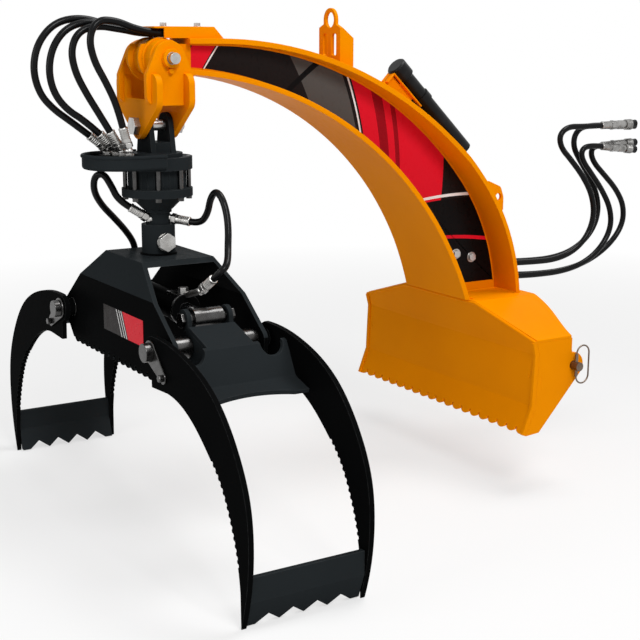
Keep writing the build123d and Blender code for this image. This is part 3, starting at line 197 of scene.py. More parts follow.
def startFinish(name, shine=0.5):
    finish = bpy.data.materials.new(name)
    finish.use_nodes = True
    tree = finish.node_tree
    shader = tree.nodes["Principled BSDF"]
    shader.inputs["Specular IOR Level"].default_value = shine
    place = addNode(tree, "TexCoord").outputs["Object"]
    return finish, tree, shader, place


def surface(tree, shader, colour, rough, normal):
    for source, socket in ((colour, "Base Color"), (rough, "Roughness"), (normal, "Normal")):
        wire(tree, source, shader.inputs[socket])


# Finishes
paintTints = {"base": (0.86, 0.270, 0.0), "deep": (0.74, 0.205, 0.0), "edgeWearAndHighlight": (0.95, 0.36, 0.006),
              "dust": (0.50, 0.19, 0.03)}
blackTints = {"base": (0.0032, 0.0034, 0.0035), "deep": (0.0018, 0.0019, 0.0020),
              "edgeWearAndHighlight": (0.050, 0.052, 0.053), "dust": (0.010, 0.0102, 0.010)}
# slate black is a lighter copy of the black paint; on the hood's upward faces it is painted top light
slateTints = {"base": (0.0185, 0.0220, 0.0240), "deep": (0.0130, 0.0155, 0.0165),
              "edgeWearAndHighlight": (0.075, 0.078, 0.080), "dust": (0.030, 0.032, 0.032)}


def paintFinish(name, tints, gloss, peel, shine):
    finish, tree, shader, place = startFinish(name, shine)
    cloudy = noise(tree, place, 5.0)
    speckled = noise(tree, place, 70.0, 5.0)
    fine = noise(tree, place, 420.0, 2.0)
    colour = mixColour(tree, spread(tree, cloudy, 0.38, 0.72, 0.0, 0.35), tints["base"], tints["deep"])
    dust = sumNode(tree, "MULTIPLY", spread(tree, speckled, 0.56, 0.78),
                   spread(tree, cloudy, 0.45, 0.75, 0.0, 0.12))
    colour = mixColour(tree, dust, colour, tints["dust"])
    # rounded edges get the lighter edge tint: a painted highlight along the edges, on the orange in part edge
    # wear
    edge = sumNode(tree, "MULTIPLY", spread(tree, edgeMask(tree, 0.0016), 0.99, 0.86),
                   spread(tree, speckled, 0.34, 0.62, 0.15, 0.75))
    colour = mixColour(tree, edge, colour, tints["edgeWearAndHighlight"])
    rough = spread(tree, speckled, 0.3, 0.7, gloss - 0.05, gloss + 0.07)
    rough = sumNode(tree, "ADD", rough, sumNode(tree, "MULTIPLY", edge, 0.12), clamp=True)
    waves = bumpNode(tree, noise(tree, place, 34.0, 1.0), 0.10, 0.0012)
    surface(tree, shader, colour, rough, bumpNode(tree, fine, peel, 0.0003, waves))
    return finish


zincTints = {"base": (0.52, 0.515, 0.50), "deep": (0.36, 0.35, 0.335), "stain": (0.22, 0.19, 0.15)}
darkTints = {"base": (0.085, 0.084, 0.083), "deep": (0.045, 0.043, 0.042), "stain": (0.030, 0.022, 0.016)}
couplerTints = {"base": (0.36, 0.355, 0.345), "deep": (0.12, 0.118, 0.112), "stain": (0.04, 0.034, 0.028)}
rustTints = {"base": (0.20, 0.155, 0.125), "deep": (0.11, 0.075, 0.055), "stain": (0.13, 0.055, 0.025)}
chromeTints = {"base": (0.80, 0.81, 0.83), "deep": (0.66, 0.67, 0.69), "stain": (0.5, 0.5, 0.5)}


def metalFinish(name, tints, gloss, brushed):
    finish, tree, shader, place = startFinish(name)
    shader.inputs["Metallic"].default_value = 1.0
    cloudy = noise(tree, place, 60.0, 4.0)
    spots = noise(tree, place, 700.0, 4.0)
    streaks = noise(tree, place, 500.0, 2.0, brushed)
    colour = mixColour(tree, spread(tree, cloudy, 0.35, 0.7, 0.0, 0.8), tints["base"], tints["deep"])
    colour = mixColour(tree, spread(tree, spots, 0.62, 0.78, 0.0, 0.3), colour, tints["stain"])
    surface(tree, shader, colour, spread(tree, spots, 0.3, 0.7, gloss - 0.06, gloss + 0.14),
            bumpNode(tree, streaks, 0.10, 0.0001))
    return finish


rubberTints = {"base": (0.0045, 0.0046, 0.0050), "scuff": (0.016, 0.016, 0.016)}


def rubberFinish(name):
    finish, tree, shader, place = startFinish(name, 0.10)
    cloudy = noise(tree, place, 26.0, 4.0)
    grain = noise(tree, place, 1400.0, 2.0)
    wrap = noise(tree, place, 240.0, 3.0)
    colour = mixColour(tree, spread(tree, cloudy, 0.56, 0.8, 0.0, 0.5), rubberTints["base"],
                       rubberTints["scuff"])
    surface(tree, shader, colour, spread(tree, wrap, 0.3, 0.7, 0.17, 0.26),
            bumpNode(tree, grain, 0.12, 0.0002, bumpNode(tree, wrap, 0.1, 0.0005)))
    return finish


plasticTints = {"base": (0.0050, 0.0052, 0.0056), "scuff": (0.018, 0.018, 0.019)}


def plasticFinish(name):
    finish, tree, shader, place = startFinish(name, 0.14)
    grain = noise(tree, place, 900.0, 2.0)
    cloudy = noise(tree, place, 30.0, 5.0)
    edge = sumNode(tree, "MULTIPLY", spread(tree, edgeMask(tree, 0.0012), 0.99, 0.88), 0.6)
    colour = mixColour(tree, spread(tree, cloudy, 0.5, 0.75, 0.0, 0.4), plasticTints["base"],
                       plasticTints["scuff"])
    colour = mixColour(tree, edge, colour, plasticTints["scuff"])
    surface(tree, shader, colour, spread(tree, cloudy, 0.3, 0.7, 0.30, 0.44),
            bumpNode(tree, grain, 0.2, 0.0002))
    return finish


orangePaint = paintFinish("orange_paint", paintTints, 0.36, 0.10, 0.012)
blackPaint = paintFinish("black_paint", blackTints, 0.30, 0.06, 0.0008)
slatePaint = paintFinish("slate_black_paint", slateTints, 0.30, 0.06, 0.0008)
darkSteel = metalFinish("dark_steel", darkTints, 0.22, (1.0, 1.0, 4.0))
rustSteel = metalFinish("brown_steel", rustTints, 0.34, (1.0, 1.0, 4.0))
couplerSteel = metalFinish("coupler_steel", couplerTints, 0.18, (1.0, 1.0, 6.0))
zincPlate = metalFinish("zinc_plate", zincTints, 0.27, (1.0, 1.0, 6.0))
chromeRod = metalFinish("chrome_rod", chromeTints, 0.12, (6.0, 1.0, 6.0))
hoseRubber = rubberFinish("hose_rubber")
blackPlastic = plasticFinish("black_plastic")
dict.fromkeys((blackPaint, slatePaint), "black_paint")
dict.fromkeys((zincPlate, darkSteel, couplerSteel, rustSteel), "zinc_plate")
print("finishes made")


# Building blocks for meshes
sharpAngle = {"plain": 38.0, "folded": 8.0, "softened": 32.0}
bite = 0.0005        # how far one part reaches into the next


def newPiece(mesh, name, finish, body, sharpAbove=sharpAngle["plain"], flatFaces=True):
    data = bpy.data.meshes.new(name)
    mesh.to_mesh(data)
    mesh.free()
    for spare in ("custom_normal", "sharp_edge", "sharp_face"):
        if spare in data.attributes:
            data.attributes.remove(data.attributes[spare])
    data.polygons.foreach_set("use_smooth", [True] * len(data.polygons))
    data.set_sharp_from_angle(angle=radians(sharpAbove))
    data.materials.append(finish)
    piece = linked(name, data)
    if flatFaces:
        weighted = piece.modifiers.new("flat faces", "WEIGHTED_NORMAL")
        weighted.keep_sharp = True
    if body:
        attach(piece, body)
    return piece


def nodePiece(mesh, name, finish, nodeName, **more):
    # a piece that takes a CAD node's place
    piece = newPiece(mesh, name, finish, nodeBodies[nodeName], **more)
    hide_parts(nodeName)
    return piece


def addMesh(target, part, place=None, direction=None):
    # joins one bmesh to another, put in its place if one is given
    if place is not None:
        pointed(part, place, direction)
    data = bpy.data.meshes.new("part")
    part.to_mesh(data)
    part.free()
    target.from_mesh(data)
    bpy.data.meshes.remove(data)
    return target


def pointed(mesh, place, direction):
    # turns a part drawn along Z to a direction, and puts it in its place
    bmesh.ops.transform(mesh, matrix=aimed(place, direction), verts=mesh.verts)
    return mesh


def closed(mesh):
    bmesh.ops.remove_doubles(mesh, verts=mesh.verts, dist=1e-6)
    bmesh.ops.recalc_face_normals(mesh, faces=mesh.faces)
    return mesh


def raised(mesh, height):
    bmesh.ops.translate(mesh, vec=(0, 0, height), verts=mesh.verts)
    return mesh


def spun(profile, steps=40):
    # a turned part from (radius, height) pairs that start and end on its axis
    mesh = bmesh.new()
    spots = [mesh.verts.new((radius, 0, height)) for radius, height in profile]
    edges = [mesh.edges.new(pair) for pair in zip(spots, spots[1:])]
    bmesh.ops.spin(mesh, geom=spots + edges, cent=(0, 0, 0), axis=up, dvec=(0, 0, 0), angle=2 * pi,
                   steps=steps, use_merge=True, use_duplicate=False)
    return closed(mesh)


def disc(radius, low, high, edge, steps=40):
    # turned disc with its edges taken off
    return spun([(0, low), (radius - edge, low), (radius, low + edge), (radius, high - edge),
                 (radius - edge, high), (0, high)], steps)


def sharpEdges(mesh):
    return [edge for edge in mesh.edges
            if edge.is_manifold and edge.calc_face_angle(0) > radians(sharpAngle["softened"])]


def bevelled(mesh, edges, width, segments, clamped):
    bmesh.ops.bevel(mesh, geom=edges, offset=width, offset_type="OFFSET", affect="EDGES",
                    segments=segments, profile=0.5, material=-1, clamp_overlap=clamped)
    return mesh


def softened(mesh, width, segments=2, clamped=False):
    return bevelled(mesh, sharpEdges(mesh), width, segments, clamped)


def pushed(mesh, faces, move):
    # flat faces grow into a solid along a move
    grown = bmesh.ops.extrude_face_region(mesh, geom=faces)
    moved = [item for item in grown["geom"] if isinstance(item, bmesh.types.BMVert)]
    bmesh.ops.translate(mesh, vec=move, verts=moved)
    bmesh.ops.recalc_face_normals(mesh, faces=mesh.faces)
    return mesh


def plateMesh(corners, start, end):
    # a plate with an outline in X and Z, from one Y to another
    mesh = bmesh.new()
    face = mesh.faces.new([mesh.verts.new((x, start, z)) for x, z in corners])
    return pushed(mesh, [face], (0, end - start, 0))


def cutOff(mesh, place, normal, filled=False):
    # takes away what lies beyond a plane
    cut = bmesh.ops.bisect_plane(mesh, geom=mesh.verts[:] + mesh.edges[:] + mesh.faces[:],
                                 plane_co=place, plane_no=normal, clear_outer=True)
    if filled:
        rim = [item for item in cut["geom_cut"] if isinstance(item, bmesh.types.BMEdge)]
        bmesh.ops.edgeloop_fill(mesh, edges=rim)


def hexNut(across, high, edge=0.0007):
    # a nut or bolt head on Z, from 0 up, with its corners turned off
    mesh = bmesh.new()
    radius = across / sqrt(3)
    bmesh.ops.create_cone(mesh, cap_ends=True, segments=6, radius1=radius, radius2=radius, depth=high)
    return softened(raised(mesh, high / 2), edge, 3)


def boltHead(across, high, washer, washerHigh, studR=0.0, studHigh=0.0):
    # washer, head and, where a nut shows, the stud's end
    mesh = disc(washer, 0, washerHigh, 0.0004)
    addMesh(mesh, raised(hexNut(across, high - washerHigh), washerHigh))
    if studR:
        addMesh(mesh, spun([(0, high - 0.001), (studR, high - 0.001), (studR, high + studHigh - 0.001),
                            (studR - 0.001, high + studHigh), (0, high + studHigh)]))
    return mesh


def boxMesh(low, high):
    # a box between two corners
    mesh = bmesh.new()
    bmesh.ops.create_cube(mesh, size=1.0)
    low, high = Vector(low), Vector(high)
    bmesh.ops.scale(mesh, vec=high - low, verts=mesh.verts)
    bmesh.ops.translate(mesh, vec=(low + high) / 2, verts=mesh.verts)
    return mesh


foldSize = {"least": 9.0, "most": 60.0, "long": 0.15, "radius": 0.004, "segments": 4}


def foldedEdges(mesh):
    # the long lines along which a plate was folded
    return [edge for edge in mesh.edges if edge.is_manifold and edge.calc_length() > foldSize["long"]
            and radians(foldSize["least"]) < edge.calc_face_angle(0) < radians(foldSize["most"])]


coverEnds = {"back": 0.022, "skirtFront": 0.932, "skirtFrom": 0.85, "skirtTo": 0.94}


def reachCover(mesh):
    # the cover's skirts reach forward to the hanger and end upright
    for vert in mesh.verts:
        if vert.co.x < coverEnds["skirtFrom"]:
            vert.co.x += coverEnds["back"]
        elif vert.co.x < coverEnds["skirtTo"]:
            vert.co.x = coverEnds["skirtFront"]


def nodeMesh(nodeName):
    # merged copy of a CAD node
    mesh = bmesh.new()
    mesh.from_mesh(frame["nodes"][nodeName].data)
    bmesh.ops.remove_doubles(mesh, verts=mesh.verts, dist=2e-5)
    return mesh


def dressNode(nodeName, finish, edge, folds, trimY):
    # a CAD node with its folds bent and its sharp edges rounded
    mesh = nodeMesh(nodeName)
    bmesh.ops.dissolve_limit(mesh, angle_limit=radians(0.5), verts=mesh.verts, edges=mesh.edges)
    if nodeName == "hose_cover":
        reachCover(mesh)
    if trimY:
        for side in (1, -1):
            cutOff(mesh, (0, side * trimY, 0), (0, side, 0), filled=True)
    if folds:
        bevelled(mesh, foldedEdges(mesh), foldSize["radius"], foldSize["segments"], True)
    if edge:
        softened(mesh, edge, clamped=nodeName.startswith("hanger"))
    return nodePiece(mesh, nodeName + "_edged", finish, nodeName,
                     sharpAbove=sharpAngle["folded" if folds else "plain"])


# Hoses. A route is its length and rows of x, y and z in millimetres, as its CAD tube has them
hoseSize = {"radius": 0.00775, "tipLowerLength": 0.14, "bendStart": (0.96, 0, 0.80),
            "bendEnd": (1.066, 0, 0.694), "tiltStart": (0.938, 0, 0.66), "tiltEnd": (0.938, 0, 0.60),
            "rearInside": 0.025}
hoseTable = {
    "tip_1": (645, (815, 888, 968, 1034, 1094, 1152, 1191, 1204, 1191, 1160, 1120, 1082),
        (-25, -25, -25, -26, -27, -28, -29, -30, -31, -32, -33, -33),
        (791, 790, 790, 808, 823, 812, 770, 716, 664, 630, 602, 573)),
    "tip_2": (602, (815, 888, 964, 1026, 1084, 1134, 1166, 1177, 1166, 1137, 1101, 1067),
        (-8, -8, -8, -8, -9, -9, -10, -10, -11, -11, -11, -11),
        (791, 790, 790, 804, 815, 801, 762, 712, 664, 629, 607, 577)),
    "tip_3": (533, (815, 885, 958, 1018, 1071, 1114, 1133, 1126, 1102, 1076, 1052),
        (8, 8, 8, 8, 9, 9, 9, 10, 10, 11, 11),
        (791, 790, 790, 798, 806, 794, 757, 710, 664, 622, 583)),
    "tip_4": (507, (815, 880, 940, 992, 1037, 1080, 1100, 1091, 1064, 1042, 1031),
        (25, 25, 25, 26, 27, 28, 29, 30, 31, 32, 33),
        (791, 790, 790, 799, 816, 817, 781, 733, 685, 637, 592)),
    "rear_1": (888, (30, -75, -160, -240, -308, -358, -380, -368, -330, -284, -246, -238, -268, -325, -389),
        (15, 15, 16, 15, 15, 15, 15, 15, 15, 15, 15, 15, 15, 15, 15),
        (196, 196, 192, 191, 208, 247, 302, 362, 416, 462, 496, 530, 552, 550, 551)),
    "rear_2": (858, (30, -78, -170, -260, -335, -394, -424, -418, -384, -344, -318, -322, -356, -419),
        (-15, -15, -16, -15, -15, -15, -15, -15, -15, -15, -15, -15, -15, -15),
        (196, 196, 190, 190, 206, 243, 296, 352, 408, 456, 494, 530, 551, 549)),
    "rear_3": (851, (30, -78, -175, -270, -350, -412, -447, -440, -404, -362, -326, -320, -346, -394),
        (15, 15, 15, 15, 15, 15, 15, 15, 15, 15, 15, 15, 15, 15),
        (160, 160, 155, 156, 172, 210, 264, 320, 374, 420, 458, 486, 499, 494)),
    "rear_4": (894, (30, -80, -190, -300, -392, -472, -521, -522, -488, -438, -398, -384, -394, -424),
        (-15, -15, -15, -15, -15, -15, -15, -15, -15, -15, -15, -15, -15, -15),
        (160, 160, 151, 151, 168, 208, 262, 318, 368, 412, 446, 474, 492, 493)),
    "lower_left": (376, (1003, 1027, 1038, 1050, 1065, 1062, 1038, 1004, 974, 951, 940, 938),
        (-6, -13, -24, -38, -54, -68, -82, -95, -107, -119, -127, -130),
        (414, 430, 462, 489, 481, 446, 412, 380, 350, 323, 301, 277)),
    "lower_right": (360, (884, 869, 861, 864, 862, 858, 856, 861, 872, 884, 897, 912, 917),
        (54, 73, 94, 114, 136, 158, 175, 191, 209, 231, 247, 247, 228),
        (380, 377, 401, 437, 456, 443, 411, 376, 344, 322, 308, 296, 281)),
}
hoseRoutes = {name: [(x / 1000, y / 1000, z / 1000) for x, y, z in zip(*rows[1:])]
              for name, rows in hoseTable.items()}


def newCurve(name, kind, points, radius):
    # open round tube along its points, smooth where it is of the smooth kind
    curve = bpy.data.curves.new(name, "CURVE")
    curve.dimensions = "3D"
    spline = curve.splines.new(kind)
    spline.points.add(len(points) - 1)
    for point, place in zip(spline.points, points):
        point.co = (*place, 1.0)
    if kind == "NURBS":
        spline.order_u = 3
        spline.use_endpoint_u = True
        spline.resolution_u = 12
    curve.bevel_depth = radius
    curve.bevel_resolution = 6
    curve.use_fill_caps = radius > 0
    return curve


def curveData(kind, points, radius):
    holder = linked("curve", newCurve("curve", kind, points, radius))
    data = bpy.data.meshes.new_from_object(holder)
    bpy.data.objects.remove(holder)
    return data


def routePoints(points):
    # places along the route's smooth curve
    line = curveData("NURBS", points, 0)
    places = [vertex.co.copy() for vertex in line.vertices]
    bpy.data.meshes.remove(line)
    return places


def tubeMesh(places, radius):
    data = curveData("POLY", places, radius)
    mesh = bmesh.new()
    mesh.from_mesh(data)
    bpy.data.meshes.remove(data)
    return closed(mesh)


def hosePiece(places, name, body):
    return newPiece(tubeMesh(places, hoseSize["radius"]), name, hoseRubber, body, flatFaces=False)


def lastRun(route, backwards=False):
    # a hose's end and the way it points
    ends = (route[0], route[1]) if backwards else (route[-1], route[-2])
    return Vector(ends[0]), (Vector(ends[0]) - Vector(ends[1])).normalized()


def lineLength(places):
    return sum((ahead - here).length for here, ahead in zip(places, places[1:]))


def makeTipHose(number):
    # two tubes that meet beside the hanger, because a hose here crosses two joints
    places = routePoints(hoseRoutes[f"tip_{number}"])
    cut = len(places) - 1
    while lineLength(places[cut:]) < hoseSize["tipLowerLength"]:
        cut -= 1
    upper, lower = places[:cut + 1], places[cut:]
    top = hosePiece(upper, f"tip_hose_{number}_upper", None)
    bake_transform(top)
    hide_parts(f"tip_hose_{number}")
    end = hosePiece(lower, f"tip_hose_{number}_lower", None)
    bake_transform(end)


def makeRearHose(number):
    name, title = f"rear_{number}", f"rear_hose_{number}_rubber"
    route = hoseRoutes[name]
    hose = linked(title, newCurve(title, "NURBS", route, hoseSize["radius"]))
    hose.data.materials.append(hoseRubber)
    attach(hose, "root")
    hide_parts(f"rear_hose_{number}")
    couplerPiece = makeCoupler(number, *lastRun(route))


def makeLowerHose(side, squashAnchor=None, keep=None):
    name = f"lower_{side}"
    places = routePoints(hoseRoutes[name])
    hose = hosePiece(places, f"lower_hose_{side}_rubber", "head")
    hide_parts(f"lower_hose_{side}")
    if squashAnchor:
        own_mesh(hose)


# Hose ends: crimped ferrule, nut and stub, and the quick couplers
ferrule = {"radius": 0.0106, "long": 0.034, "nutAcross": 0.0215, "nutLong": 0.011, "stubR": 0.0072,
           "stubLong": 0.008, "collar": 0.0012, "ball": 0.0095, "crimps": 5, "crimpDeep": 0.0011}
nutTop = ferrule["long"] + ferrule["nutLong"]
hoseReach = nutTop + ferrule["stubLong"]
couplerSize = {"bodyR": 0.0112, "bodyLong": 0.045, "sleeveR": 0.0127, "sleeveLong": 0.022, "capR": 0.0108,
               "capLong": 0.018, "grooves": 6, "grooveDeep": 0.0007}


def ferruleMesh():
    # turned sleeve with a rolled collar and crimp rings, drawn along Z from the hose's end
    radius, long = ferrule["radius"], ferrule["long"]
    deep = radius - ferrule["crimpDeep"]
    profile = [(0, 0.0), (radius - 0.0018, 0.0), (radius - 0.0006, 0.0008), (radius, 0.002), (radius, 0.0048)]
    span = (long - 0.012) / ferrule["crimps"]
    for ring in range(ferrule["crimps"]):
        low = 0.0055 + span * ring
        profile += [(deep, low + 0.0006), (deep, low + span - 0.0022),
                    (radius - 0.0002, low + span - 0.0014), (radius - 0.0002, low + span - 0.0004)]
    profile += [(radius, long - 0.006), (radius, long - 0.0012), (radius - 0.0014, long), (0, long)]
    return spun(profile, 32)


def lifted(profile, low):
    return [(radius, low + height) for radius, height in profile]


def hoseEndMesh(place, aim, elbow=True):
    mesh = ferruleMesh()
    addMesh(mesh, raised(hexNut(ferrule["nutAcross"], ferrule["nutLong"]), ferrule["long"]))
    if elbow:
        radius, long = ferrule["stubR"], ferrule["stubLong"]
        collar = radius + ferrule["collar"]
        stub = [(0, 0), (collar, 0), (collar, 0.002), (radius, 0.003), (radius, long), (0, long)]
        addMesh(mesh, spun(lifted(stub, nutTop), 24))
        ball = bmesh.new()
        bmesh.ops.create_icosphere(ball, subdivisions=3, radius=ferrule["ball"])
        addMesh(mesh, raised(ball, hoseReach))
    return pointed(mesh, place, aim)


def stubMesh(start, end, radius):
    # short pipe between two places
    line = Vector(end) - Vector(start)
    return pointed(spun([(0, 0), (radius, 0), (radius, line.length), (0, line.length)], 24), start, line)


def makeCoupler(number, place, aim):
    mesh = hoseEndMesh(Vector((0, 0, 0)), up, elbow=False)
    radius, long = couplerSize["bodyR"], couplerSize["bodyLong"]
    body = [(0, 0), (radius - 0.001, 0), (radius, 0.001), (radius, 0.012), (radius - 0.0016, 0.0135),
            (radius - 0.0016, 0.0175), (radius, 0.019), (radius, 0.034), (radius - 0.002, 0.036),
            (radius - 0.002, long), (0, long)]
    addMesh(mesh, spun(lifted(body, nutTop), 36))
    low = nutTop + long
    radius, end = couplerSize["sleeveR"], low + couplerSize["sleeveLong"]
    deep = radius - couplerSize["grooveDeep"]
    sleeve = [(0, low), (radius - 0.001, low), (radius, low + 0.001)]
    span = (couplerSize["sleeveLong"] - 0.006) / couplerSize["grooves"]
    for groove in range(couplerSize["grooves"]):
        start = low + 0.003 + span * groove
        sleeve += [(radius, start), (deep, start + span * 0.3), (deep, start + span * 0.6),
                   (radius, start + span * 0.9)]
    sleeve += [(radius, end - 0.001), (radius - 0.001, end), (0, end)]
    addMesh(mesh, spun(sleeve, 36))
    steel = nodePiece(pointed(mesh, place, aim), f"coupler_{number}_steel", couplerSteel, f"coupler_{number}")
    radius, long = couplerSize["capR"], couplerSize["capLong"]
    cap = [(0, 0), (radius - 0.0012, 0), (radius, 0.0012), (radius, 0.005), (radius - 0.0015, 0.006),
           (radius - 0.0015, 0.013), (radius - 0.0005, 0.0145), (radius - 0.0005, 0.0168),
           (radius - 0.0018, long), (0, long)]
    dustCap = newPiece(pointed(spun(lifted(cap, end), 36), place, aim), f"coupler_{number}_cap",
                       blackPlastic, "root")
    return [steel, dustCap]


for number in (1, 2, 3, 4):
    makeTipHose(number)
    makeRearHose(number)
lowerSquash = {"squashAnchor": (0, 0.054, 0), "keep": 0.64}
makeLowerHose("left")
makeLowerHose("right", **lowerSquash)
print("hoses made")


# CAD nodes that keep their shape: painted, plated or moulded, with rounded edges
nodeEdges = (
    (orangePaint, 0.0010, "blade side_plates hitch_ears hose_cover top_link_ears"),
    (orangePaint, 0.0012, "top_cover boom_inner_flange boom_outer_flange tip_tube lifting_plate"),
    (orangePaint, 0.0008, "boom_webs"), (orangePaint, 0.0016, "hanger_side_plates hanger_cross_plates"),
    (blackPaint, 0.0010, "head_frame barrel"), (blackPaint, 0.0008, "claw_left_plates claw_right_plates"),
    (slatePaint, 0.0012, "rotator_bracket"), (slatePaint, 0.0005, "rotator_body"),
    (slatePaint, 0.0, "hose_guard"), (slatePaint, 0.0008, "rotor_shaft claw_left_panel claw_right_panel"),
    (slatePaint, 0.0010, "head_socket claw_left_ears claw_right_ears"),
    (zincPlate, 0.0010, "tip_pin"), (zincPlate, 0.0012, "hanger_bolt"), (chromeRod, 0.0008, "rod"),
    (darkSteel, 0.0004, "tie_bolts"), (darkSteel, 0.0010, "head_bosses"),
    (darkSteel, 0.0014, "claw_left_pins claw_right_pins"), (rustSteel, 0.0005, "hitch_pins"),
    (rustSteel, 0.0, "ring_left ring_right"), (blackPlastic, 0.0008, "manual_tube"),
    (blackPlastic, 0.0006, "tube_cap tube_bracket"))
foldedNodes = {"blade", "top_cover", "head_frame", "claw_left_panel", "claw_right_panel"}
baseSize = {"bladeHalf": 0.350, "outer": 0.360, "bladePlate": 0.008, "proud": 0.004, "cornerZ": 0.069,
            "ridgeY": 0.150, "cornerX": 0.1195, "frontsFrom": 0.110, "frontsEdge": 0.0012,
            "front": ((0.143, 0.131), (0.1185, 0.038), (0.1243, -0.088), (0.1507, -0.157))}
dressed = {}
for finish, edge, nodeNames in nodeEdges:
    for nodeName in nodeNames.split():
        dressed[nodeName] = dressNode(nodeName, finish, edge, nodeName in foldedNodes,
                                      baseSize["bladeHalf"] if nodeName == "blade" else None)
print("nodes dressed")


def secondFinish(nodeName, finish, picked):
    # another finish on the faces that a test picks
    data = dressed[nodeName].data
    data.materials.append(finish)
    for face in data.polygons:
        if picked(face, data):
            face.material_index = 1


# The rod's eye is plain steel, not chrome. The hood's top and slopes get the lighter slate black as painted
# top light, its sides keep the darker black
rodEye = {"from": 0.204}
paintedTopLight = {"least": 0.15}
secondFinish("rod", darkSteel, lambda face, data: face.center.y > rodEye["from"])
secondFinish("head_frame", slatePaint, lambda face, data: face.normal.z > paintedTopLight["least"])


# Decals on the webs and the head: a plain design of slanted bands, with no sign on it
decal = {"centre": (0.922, -0.099), "webY": 0.031, "frontX": 0.868, "footZ": 0.158, "inset": 0.0045,
         "thick": 0.0003, "radius": 0.88, "slant": 0.55, "steeper": 2.2, "cell": 0.0016, "shine": 0.05}
decalTints = {"black": (0.004, 0.003, 0.003), "weave": (0.019, 0.013, 0.012),
              "grey": (0.085, 0.078, 0.072), "red": (0.72, 0.009, 0.024), "deepRed": (0.30, 0.004, 0.010),
              "white": (0.85, 0.84, 0.83)}
# (start, end, tint, which slant) in metres along the boom from its tip, later bands over earlier ones
decalBands = ((0.07, 0.125, "red", "leaning"), (0.128, 0.132, "white", "leaning"),
              (0.33, 0.50, "grey", "crossing"), (0.36, 0.375, "black", "leaning"),
              (0.53, 0.90, "red", "crossing"), (0.515, 0.522, "white", "crossing"),
              (0.60, 0.64, "deepRed", "crossing"), (0.67, 0.69, "deepRed", "crossing"),
              (0.86, 0.868, "white", "leaning"), (0.875, 1.4, "black", "leaning"),
              (0.98, 0.99, "red", "leaning"))


def band(tree, along, start, end):
    # 1 between two places along the boom
    return sumNode(tree, "MULTIPLY", sumNode(tree, "GREATER_THAN", along, start),
                   sumNode(tree, "LESS_THAN", along, end))


def weave(tree, place):
    # small woven squares, lighter and darker by turns
    checks = addNode(tree, "TexChecker", {"Scale": 1 / decal["cell"], "Color1": (*decalTints["black"], 1),
                                          "Color2": (*decalTints["weave"], 1)})
    mapping = addNode(tree, "Mapping", {"Rotation": (0, radians(45), 0)})
    wire(tree, place, mapping.inputs["Vector"])
    wire(tree, mapping.outputs["Vector"], checks.inputs["Vector"])
    return checks.outputs["Color"]


def decalCoordinates(tree, place):
    # along the boom's arc and across it, in metres
    parts = addNode(tree, "SeparateXYZ")
    wire(tree, place, parts.inputs[0])
    back = sumNode(tree, "SUBTRACT", decal["centre"][0], parts.outputs["X"])
    rise = sumNode(tree, "SUBTRACT", parts.outputs["Z"], decal["centre"][1])
    turn = sumNode(tree, "ARCTAN2", back, rise)
    reach = sumNode(tree, "SQRT", sumNode(tree, "ADD", sumNode(tree, "MULTIPLY", back, back),
                                          sumNode(tree, "MULTIPLY", rise, rise)))
    across = sumNode(tree, "SUBTRACT", reach, decal["radius"])
    return sumNode(tree, "MULTIPLY", turn, decal["radius"]), across


def finishSheet(tree, shader, colour, place):
    # a thin glossy film with faint scratches
    scratched = noise(tree, place, 60.0, 6.0)
    surface(tree, shader, colour, spread(tree, scratched, 0.3, 0.7, 0.24, 0.36),
            bumpNode(tree, scratched, 0.04, 0.0004))


def webDecalFinish():
    finish, tree, shader, place = startFinish("web_decal", decal["shine"])
    along, across = decalCoordinates(tree, place)
    slants = {"leaning": -decal["slant"], "crossing": decal["slant"] * decal["steeper"]}
    lines = {name: sumNode(tree, "ADD", along, sumNode(tree, "MULTIPLY", across, slant))
             for name, slant in slants.items()}
    colour = weave(tree, place)
    for first, last, tint, line in decalBands:
        colour = mixColour(tree, band(tree, lines[line], first, last), colour, decalTints[tint])
    finishSheet(tree, shader, colour, place)
    return finish


def makeWebDecal(side, finish):
    # sheet over one web's outer face, from the face itself
    mesh = nodeMesh("boom_webs")
    other = [face for face in mesh.faces
             if face.normal.y * side < 0.99 or face.calc_center_median().y * side < decal["webY"] - bite]
    bmesh.ops.delete(mesh, geom=other, context="FACES")
    cutOff(mesh, (decal["frontX"], 0, 0), (1, 0, 0))
    cutOff(mesh, (0, 0, decal["footZ"]), (0, 0, -1))
    bmesh.ops.dissolve_limit(mesh, angle_limit=radians(0.5), verts=mesh.verts, edges=mesh.edges)
    bmesh.ops.inset_region(mesh, faces=mesh.faces[:], thickness=decal["inset"], use_boundary=True)
    rim = [face for face in mesh.faces if any(edge.is_boundary for edge in face.edges)]
    bmesh.ops.delete(mesh, geom=rim, context="FACES")
    newPiece(pushed(mesh, mesh.faces[:], (0, side * decal["thick"], 0)),
             "web_decal_left" if side > 0 else "web_decal_right", finish, nodeBodies["boom_webs"],
             flatFaces=False)


headLabel = {"y": (-0.066, 0.150), "z": (0.132, 0.190), "thick": 0.0004, "slant": 0.5, "red": (0.135, 0.5),
             "stripes": (0.100, 0.114, 0.126), "stripe": 0.0035}


def headLabelFinish():
    finish, tree, shader, place = startFinish("head_label", decal["shine"])
    parts = addNode(tree, "SeparateXYZ")
    wire(tree, place, parts.inputs[0])
    leaning = sumNode(tree, "ADD", parts.outputs["Y"],
                      sumNode(tree, "MULTIPLY", parts.outputs["Z"], headLabel["slant"]))
    colour = mixColour(tree, band(tree, leaning, *headLabel["red"]), weave(tree, place), decalTints["red"])
    for start in headLabel["stripes"]:
        colour = mixColour(tree, band(tree, leaning, start, start + headLabel["stripe"]), colour,
                           decalTints["white"])
    finishSheet(tree, shader, colour, place)
    return finish


def makeHeadLabel(finish):
    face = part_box("head_frame")[1].x
    (near, far), (low, high) = headLabel["y"], headLabel["z"]
    mesh = boxMesh((face, near, low), (face + headLabel["thick"], far, high))
    newPiece(mesh, "head_label", finish, "head", flatFaces=False)


